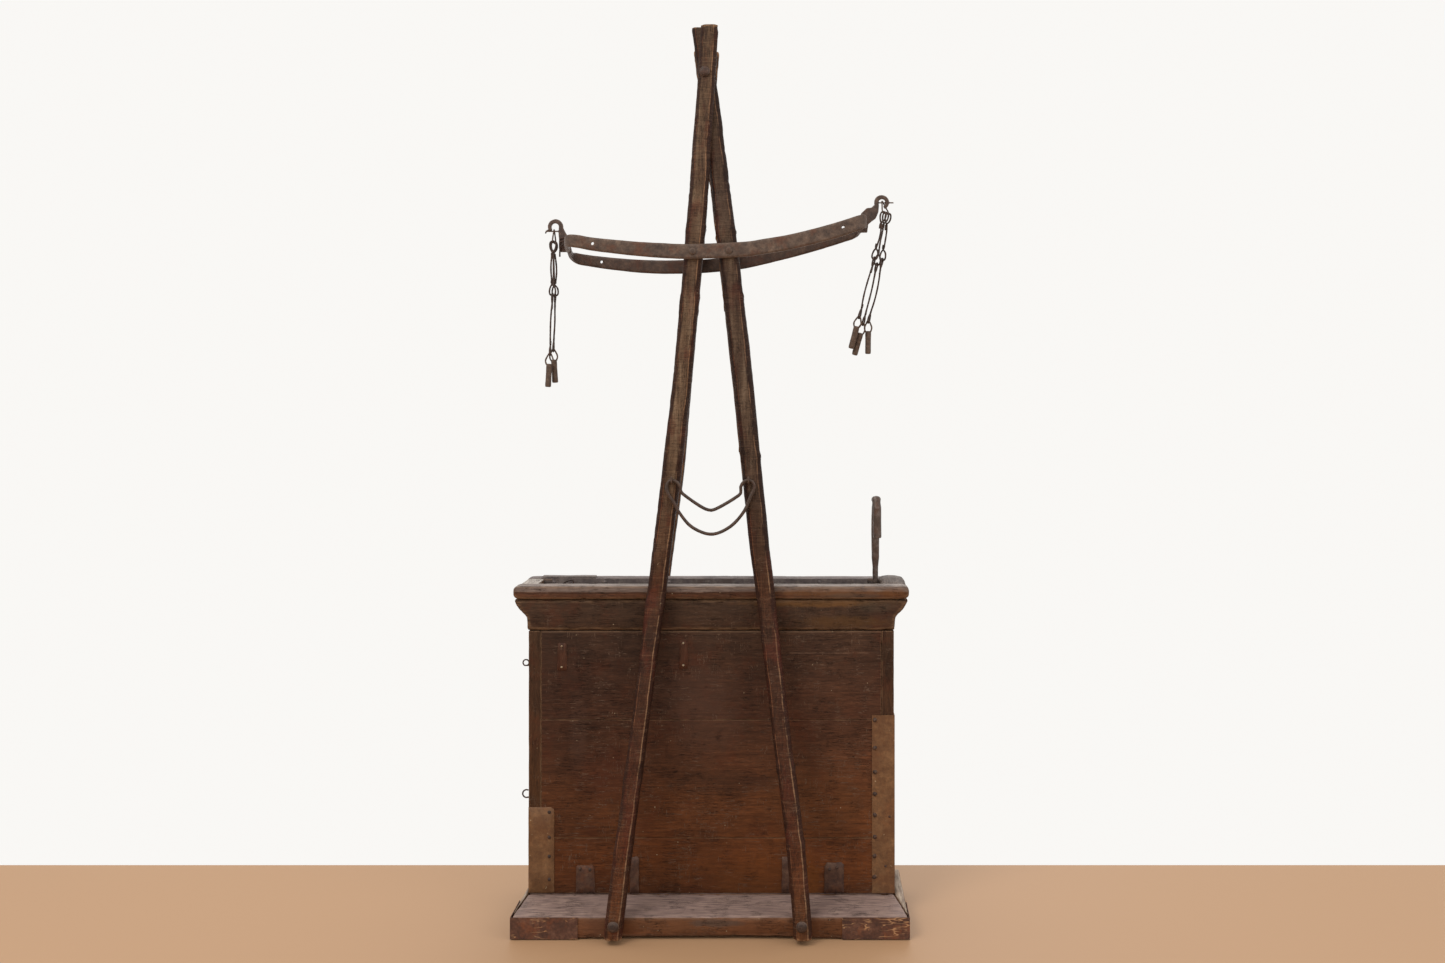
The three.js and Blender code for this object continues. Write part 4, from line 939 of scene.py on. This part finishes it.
def strap_piece(place, material):
    """A flat forged bar along its line, with rounded edges, uneven faces and small round holes."""
    line = spline([Vector((x * MM, (y + SHIFT) * MM, z * MM)) for x, y, z in STRAP_LINES[place]], 14)
    points, faces = [], []
    heights = np.linspace(-1, 1, 7)
    for i, point in enumerate(line):
        tangent = (line[min(i + 1, len(line) - 1)] - line[max(i - 1, 0)]).normalized()
        across = Vector((-tangent.y, tangent.x, 0)).normalized()
        reach = min(1, abs(point.x) / 0.16)
        left, middle, right = STRAP_HALF
        tip = left if point.x < 0 else right
        half = (middle + (tip - middle) * reach * reach) * MM
        into_return = min(1, max(0, (0.0649 - abs(point.y - SHIFT * MM)) / 0.014))
        half *= 1 - 0.34 * into_return * into_return * (3 - 2 * into_return)
        ring = []
        for side in (1, -1):
            for h in heights * side:
                edge = abs(h) > 0.99
                thick = STRAP_HALF_THICK - (STRAP_ROUND if edge else 0)
                ring.append(point + across * side * thick + Vector((0, 0, h * half)))
                if edge:
                    corner = Vector((0, 0, math.copysign(half - 0.3 * STRAP_ROUND, h)))
                    ring.append(point + across * side * (STRAP_HALF_THICK - 0.3 * STRAP_ROUND) + corner)
        order = []
        for side in (1, -1):
            hs = sorted([q for q in ring if (q - point).dot(across) * side > 0], key=lambda q: q.z * side)
            order += hs
        ring_count = len(order)
        points += order
    for i in range(len(line) - 1):
        a, b = i * ring_count, (i + 1) * ring_count
        faces += [(a + k, a + (k + 1) % ring_count, b + (k + 1) % ring_count,
            b + k) for k in range(ring_count)]
    faces.append(tuple(reversed(range(ring_count))))
    faces.append(tuple(range((len(line) - 1) * ring_count, len(line) * ring_count)))
    mesh = bpy.data.meshes.new(f"{place}_yoke_bar")
    mesh.from_pydata([tuple(p) for p in points], [], faces)
    recalc(mesh)
    co, normal = coordinates(mesh), normals_of(mesh)
    move = fbm(co, 26 * MM, 3, 51) * 0.35 * MM + fbm(co, 7 * MM, 2, 52) * 0.14 * MM
    set_coordinates(mesh, co + normal * move[:, None])
    obj = bpy.data.objects.new(f"{place}_yoke_bar", mesh)
    bpy.context.scene.collection.objects.link(obj)
    y = SHIFT + (-STRAP_Y if place == "front" else STRAP_Y)
    for x in STRAP_HOLES[place]:
        near = min(line, key=lambda q: abs(q.x - x * MM) + (0 if abs(q.y - y * MM) < 0.004 else 1))
        drill = Lump()
        drill.lathe((x * MM, (y - 8) * MM, near.z + 0.6 * MM), (0, 1, 0),
            [(0, HOLE_RADIUS), (16 * MM, HOLE_RADIUS)], 16)
        cutter_mesh = bpy.data.meshes.new("cutter")
        cutter_mesh.from_pydata([tuple(q) for q in drill.points], [], drill.faces)
        recalc(cutter_mesh)
        cutter = bpy.data.objects.new("cutter", cutter_mesh)
        bpy.context.scene.collection.objects.link(cutter)
        hole = obj.modifiers.new("hole", "BOOLEAN")
        hole.operation, hole.object, hole.solver = "DIFFERENCE", cutter, "EXACT"
        graph = bpy.context.evaluated_depsgraph_get()
        drilled = bpy.data.meshes.new_from_object(obj.evaluated_get(graph))
        obj.modifiers.clear()
        obj.data = drilled
        bpy.data.objects.remove(cutter)
    mesh = obj.data
    normal = normals_of(mesh)
    put_attribute(mesh, "wear", np.clip(np.abs(normal[:, 2]) * 1.4 - 0.3, 0, 1))
    put_attribute(mesh, "up", normal[:, 2])
    put_attribute(mesh, "facing", np.abs(normal[:, 1]))
    smooth_shade(mesh)
    finish_piece(obj, ROOT, [f"{place}_yoke_strap"], material)


strap_piece("front", strap_iron)
strap_piece("rear", rear_strap_iron)
for node in ("left_yoke_hook", "right_yoke_hook"):
    weathered(node, 0.6, hook_iron, 2, [(9, 0.25, (1, 1, 1), 53)], 0.3, swell=0.3)


def tuck_tongue(co):
    """The hook's tongue moved a little to the left, in front of its rod, as in the photograph."""
    rod_y = np.median(co[co[:, 2] < 440 * MM][:, 1])
    away = np.clip((np.abs(co[:, 1] - rod_y) - 4 * MM) / (7 * MM), 0, 1)
    co = co.copy()
    co[:, 0] -= 2.6 * MM * away * away * (3 - 2 * away)
    return co


RIM_CLEAR = 388 * MM  # the upright hook stands free of the box above this height


def hook_swell(co, normal, wear):
    """The rod is 0.45 mm thinner up to the rim, so it clears the box, and 0.55 mm thicker above."""
    clear = np.clip((co[:, 2] - RIM_CLEAR) / (10 * MM), 0, 1)
    return (1.0 * clear - 0.45) * MM


weathered("upright_hook", 0.7, upright_iron, 3, [(20, 0.15, (1, 1, 1), 54), (5, 0.1, (1, 1, 1), 55)], 0.0,
    hook_swell, reshape=tuck_tongue)
weathered("upright_hook_staple", 0.6, hook_iron, 3, [(9, 0.2, (1, 1, 1), 56)], 0.2)
weathered("wire_ring", 0.5, wire_iron, 2, [(12, 0.14, (1, 1, 1), 57)], 0.1, swell=0.25)
for node in ("left_shackle", "right_shackle"):
    weathered(node, 0.35, wire_iron, 2, [(5, 0.05, (1, 1, 1), 58)], swell=0.15)
for place in ("front", "rear"):
    for hand in ("left", "right"):
        weathered(f"{place}_{hand}_foot_bolt", 0.8, nail_iron, 3, [(6, 0.3, (1, 1, 1), 59)], 0.4)
        weathered(f"{place}_{hand}_yoke_rivet", 0.6, strap_iron, 3, [(5, 0.2, (1, 1, 1), 60)], 0.3)
weathered("mast_bolt", 0.8, nail_iron, 3, [(6, 0.3, (1, 1, 1), 61)], 0.3)
weathered("mast_bolt_nut", 0.8, nail_iron, 2, [(6, 0.3, (1, 1, 1), 62)], 0.3)
for node in ("ring_nail_left", "ring_nail_right"):
    weathered(node, 0.5, nail_iron, 2, [(5, 0.15, (1, 1, 1), 63)], 0.2)
for node, material in (("back_inner_band", band_grey), ("right_tin_strip", tin),
                       ("base_corner_iron_left", corner_iron), ("base_corner_iron_right", corner_iron)):
    NODES[node].data.materials.clear()
    NODES[node].data.materials.append(material)

# ------------------------------------------------------------------ strands
WIRE = 1.0 * MM  # radius of the strands' wire
PEG_RADIUS = 3.4 * MM
PEG_TOP, PEG_FOOT = 10.5 * MM, 37.5 * MM  # from the joint above the peg, along it


def joint_at(name):
    return Vector(JOINTS[name]["pos_m"])


def eye(lump, at, along, side, half, length, radius, tail_mm, seed):
    """A drop-shaped wire eye round the point at, with a short tail that lies against the shank."""
    path = [at + along * length, at + along * length * 0.62 + side * half * 0.75,
        at + along * length * 0.22 + side * half,
            at - along * half * 0.1 + side * half * 0.72, at - along * half * 0.42,
            at - along * half * 0.1 - side * half * 0.72, at + along * length * 0.22 - side * half,
            at + along * length * 0.62 - side * half * 0.75, at + along * length * 0.98 + side * radius]
    tail = [at + along * (length + 2.5 * MM) + side * radius * 1.35,
        at + along * (length + tail_mm * MM) + side * radius * 1.1]
    lump.tube(path + tail, radius, 8, steps=5, wobble=0.05, seed=seed)


def link_piece(name, node, start, end, axis, flat, bow, doubled, seed):
    """One link of a strand: an eye at each end and one wire, or two, between them."""
    lump = Lump()
    along = (end - start).normalized()
    across = axis.cross(along).normalized()
    side = across if flat else axis
    half, length = (3.5 * MM, 12.5 * MM) if flat else (2.7 * MM, 11.5 * MM)
    eye(lump, start, along, side, half, length, WIRE, 6, seed)
    eye(lump, end, -along, side, half, length, WIRE, 4.5, seed + 2)
    a, b = start + along * length, end - along * length
    span = b - a
    for k in ((-1, 1) if doubled else (0,)):
        off = across * k * WIRE * 1.5
        path = [a + span * t + off * (0.4 + 0.6 * math.sin(math.pi * t))
                + across * bow * MM * math.sin(math.pi * t)
                + axis * 0.4 * MM * math.sin(2 * math.pi * t + seed) for t in (0, 0.2, 0.4, 0.6, 0.8, 1)]
        lump.tube(path, WIRE, 8, steps=4, wobble=0.05, seed=seed + k)
    return lump.piece(name, node, wire_iron, [node])


def peg_piece(name, node, pivot, swing_axis, top, foot, seed):
    """A small round peg and the wire bail that it hangs from."""
    lump = Lump()
    along = (foot - top).normalized()
    length = (foot - top).length
    r = PEG_RADIUS
    profile = [(0, r * 0.55), (0.0003, r * 0.86), (0.0012, r * 1.0), (0.004, r * 1.03),
        (length * 0.4, r * 0.98),
               (length * 0.75, r), (length - 0.0035, r * 1.03), (length - 0.001, r * 0.99),
               (length - 0.0002, r * 0.84), (length, r * 0.5)]
    lump.lathe(top, along, profile, 18, 0.025, seed)
    across = swing_axis.cross(along).normalized()
    loop = [top + along * 2 * MM + across * 2.4 * MM, top - along * 1.0 * MM + across * 4.2 * MM,
            top.lerp(pivot, 0.45) + across * 4.4 * MM, pivot + across * 1.4 * MM - along * 0.6 * MM,
            pivot - along * 1.4 * MM, pivot - across * 1.4 * MM - along * 0.6 * MM,
            top.lerp(pivot, 0.45) - across * 4.2 * MM, top - along * 1.0 * MM - across * 3.8 * MM,
            top + along * 2 * MM - across * 2.2 * MM]
    lump.tube(loop, WIRE * 0.95, 8, steps=5, wobble=0.05, seed=seed)
    return lump.piece(name, node, peg_iron, [node])


BOWS = {"left_strand_1": (0.5, 0.8), "left_strand_2": (-0.6, -0.5), "right_strand_1": (-1.2, 1.2),
        "right_strand_2": (0.8, -1.0), "right_strand_3": (-0.8, -2.2)}
for strand, (upper_bow, lower_bow) in BOWS.items():
    top = joint_at(f"{strand}_upper_swing")
    knee = joint_at(f"{strand}_lower_swing")
    ankle = joint_at(f"{strand}_toggle_swing")
    axis = Vector(JOINTS[f"{strand}_upper_swing"]["axis"]).normalized()
    seed = sum(map(ord, strand)) % 17
    link_piece(f"{strand}_upper_wire", f"{strand}_upper_link", top, knee, axis, True, upper_bow,
        strand.startswith("left"), seed)
    link_piece(f"{strand}_lower_wire", f"{strand}_lower_link", knee, ankle, axis, False, lower_bow, False,
        seed + 1)
    node = NODES[f"{strand}_toggle_peg"]
    co = coordinates(node.data)
    far = co[np.argsort(co[:, 2])[:8]].mean(0)
    drop = (Vector(far) - ankle)
    drop = drop - axis * drop.dot(axis)
    direction = drop.normalized()
    peg_piece(f"{strand}_peg", f"{strand}_toggle_peg", ankle, axis,
              ankle + direction * PEG_TOP, ankle + direction * PEG_FOOT, seed + 4)

# ------------------------------------------------------------------ trim on the box
FACE_Y = (SHIFT - 40) * MM  # the front face of the boards
PLATE_NAIL = 2.0  # radius of the nail heads in the plates, in mm


def box_plate(name, outline, nails, material, thickness, ragged, seed, proud=0.25):
    lump = Lump()
    points, faces = lump.plate([(x * MM, z * MM) for x, z in outline], (thickness + 0.6) * MM, ragged * MM,
        seed, 0.15 * MM)
    points[:, 1] += FACE_Y - (thickness + proud) * MM
    lump.add(points, faces)
    lump.piece(name, ROOT, material)
    if nails:
        heads = Lump()
        for i, (x, z) in enumerate(nails):
            heads.nail((x * MM, FACE_Y - (thickness + proud - 0.1) * MM, z * MM), (0, -1, 0),
                PLATE_NAIL * MM, i + seed)
        heads.piece(name + "_nails", ROOT, nail_iron)


back_low, back_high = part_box("back_top_rail")
board("back_rail_lath", band_grey, 0.6, 5, [(12, 0.3, (3, 1, 1), 71)], 0.8,
      ((-0.204, back_low[1] + 0.001, back_high[2] - 0.001),
          (-0.141, back_low[1] + 0.009, back_high[2] + 0.0022)))
tin_heads = Lump()
for k, (x, z) in enumerate(((185, 221.2), (185, 189.6), (185.2, 162.5), (185, 137.6), (185, 113.9),
    (185, 89.1), (184.6, 67.6),
                            (184.4, 43.9), (197, 56), (201.5, 112))):
    tin_heads.nail((x * MM, FACE_Y - 0.8 * MM, z * MM), (0, -1, 0), (2.5 if k < 8 else 1.4) * MM, k)
tin_heads.piece("right_tin_nails", ROOT, nail_iron)
box_plate("left_tin_patch", [(-206.6, 25.6), (-177.4, 25.6), (-177.2, 118), (-178, 120.6), (-180.6, 122.3),
    (-206.6, 122.3)],
          [(-183, 117), (-183, 88.6), (-183, 67), (-183, 41)], tin, 0.6, 0.25, 3)
box_plate("left_base_cleat", [(-153, 25.4), (-131.5, 25.4), (-131.9, 54), (-134, 57), (-151, 57),
    (-152.6, 55)],
          [(-148, 53), (-137, 52)], rusty_plate, 0.7, 0.8, 5)
box_plate("right_base_cleat", [(127.4, 25.4), (150, 25.4), (149.8, 57), (147, 60.4), (131, 60.4), (128, 56)],
          [(133.8, 52.4), (142.1, 54.7)], rusty_plate, 0.9, 0.8, 6)
box_plate("left_brace_plate", [(-92, 25.2), (-81.7, 25.2), (-81.5, 64), (-84, 67), (-91.6, 66)], [],
    rusty_plate, 0.8, 1.2, 7)
box_plate("right_brace_plate", [(79.5, 25.2), (88.5, 25.2), (88, 64), (85, 67), (80, 66)], [], rusty_plate,
    0.8, 1.2, 8)
wood_cleat = wood("cleat_wood", "z", [(270, (86, 54, 40)), (320, (84, 56, 44))], (250, 330), specks=0.3)
bright_nail = iron("bright_nail", (176, 160, 140), (214, 204, 190), (110, 92, 76), (130, 96, 70), 0.4, 0.4,
    0.5)
for k, (x0, x1, z0, z1, heads) in enumerate([(-174.4, -163.1, 277, 308, [(-169, 304.5), (-169, 280.8)]),
                                             (-36.5, -26.3, 278.6, 311, [(-31.6, 308), (-31.6, 283)])]):
    box_plate(f"face_cleat_{k + 1}", [(x0, z0 + 1), (x0 + 1.5, z0), (x1 - 1, z0), (x1, z0 + 2),
        (x1, z1 - 2), (x1 - 2, z1), (x0 + 1, z1)],
              [], wood_cleat, 0.5, 0.6, 11 + k, 0.2)
    heads_lump = Lump()
    for i, (x, z) in enumerate(heads):
        heads_lump.nail((x * MM, FACE_Y - 0.7 * MM, z * MM), (0, -1, 0), 1.25 * MM, i)
    heads_lump.piece(f"face_cleat_{k + 1}_nails", ROOT, bright_nail)


def wire_piece(name, paths, radius, seed=0):
    lump = Lump()
    for i, path in enumerate(paths):
        lump.tube([(x * MM, (y + SHIFT) * MM, z * MM) for x, y, z in path], radius * MM, 8, steps=6,
            seed=seed + i)
    return lump.piece(name, ROOT, wire_iron)


def loop_path(cx, y, cz, r, start, end):
    return [(cx + r * math.cos(math.radians(a)), y, cz + r * math.sin(math.radians(a)))
            for a in np.linspace(start, end, 10)]


wire_piece("left_hook_binding", [
    [(-178.4, -2.5, 748.6), (-178.2, -3, 754), (-177.5, -4.2, 759), (-175.5, -5.2, 762),
        (-172.6, -4.6, 763.6), (-170.4, -1, 764.6)],
    [(-178.1, 3.6, 761), (-178.3, 0.5, 763.6), (-178.0, -3.6, 765), (-176, -5.4, 766), (-171.8, -4.4, 767),
        (-170, 0, 768)],
    [(-178.0, 3.4, 766), (-178.2, 0, 768), (-177.7, -3.8, 769.2), (-175.4, -5, 770), (-171.6, -3.8, 771),
        (-170.2, 0.5, 772)],
    [(-177.7, -3, 757.4), (-178.2, -1, 760.5), (-177.6, -4, 764), (-178.1, -2.4, 767.6),
        (-177.4, -3.8, 771)]], 0.95, seed=3)
wire_piece("left_pin_tail", [[(-189.6, 0, 780.4), (-192, 0, 780), (-194.2, 0.2, 778.6),
    (-195.6, 0.4, 776)]], 0.8)
wire_piece("side_eye_upper", [loop_path(-210.2, -36, 285, 3.4, -60, 250) + [(-206, -36, 282)]], 0.8)
wire_piece("side_eye_lower", [loop_path(-209.6, -36, 136.5, 4.4, 60, 300)], 0.85)
wire_piece("inner_hook", [[(-181, 23, 363.5), (-178, 23, 366.5), (-172, 23, 369.5), (-167.6, 23, 368.8),
    (-167.4, 23, 366), (-171, 24, 362)],
                          [(-180, 24, 361.5), (-175, 23, 364.6), (-171, 23, 365.4), (-170, 24, 362.6)]], 0.75)

# ------------------------------------------------------------------ stage
world = bpy.data.worlds.new("world")
bpy.context.scene.world = world
world.use_nodes = True
world.node_tree.nodes["Background"].inputs[0].default_value = (1.0, 0.985, 0.96, 1)
world.node_tree.nodes["Background"].inputs[1].default_value = 0.95

FLOOR_REACH = 3  # to the left, the right and the front
FLOOR_BACK = 0.139  # the floor's far edge, where the photograph's wall starts
floor_mesh = bpy.data.meshes.new("floor")
floor_mesh.from_pydata([(-FLOOR_REACH, -FLOOR_REACH, 0), (FLOOR_REACH, -FLOOR_REACH, 0),
                        (FLOOR_REACH, FLOOR_BACK, 0), (-FLOOR_REACH, FLOOR_BACK, 0)], [], [(0, 1, 2, 3)])
floor = bpy.data.objects.new("floor", floor_mesh)
bpy.context.scene.collection.objects.link(floor)
floor_shade = Shade("floor_pale")
floor_mesh.materials.append(floor_shade.done(srgb(176, 138, 103), 0.6))


def area_light(name, at, aim, size, power, colour=(1, 1, 1)):
    light = bpy.data.lights.new(name, "AREA")
    light.shape = "DISK"
    light.size = size
    light.energy = power
    light.color = colour
    obj = bpy.data.objects.new(name, light)
    obj.location = at
    obj.rotation_euler = (Vector(aim) - Vector(at)).to_track_quat("-Z", "Y").to_euler()
    bpy.context.scene.collection.objects.link(obj)


area_light("key", (-1.1, -1.5, 2.3), (0, 0, 0.45), 1.2, 26, (1, 0.98, 0.95))
area_light("fill", (1.8, -1.2, 1.2), (0, 0, 0.4), 1.5, 8, (0.95, 0.97, 1))
area_light("back", (0.3, 2.2, 1.8), (0, 0, 0.5), 1.5, 12)
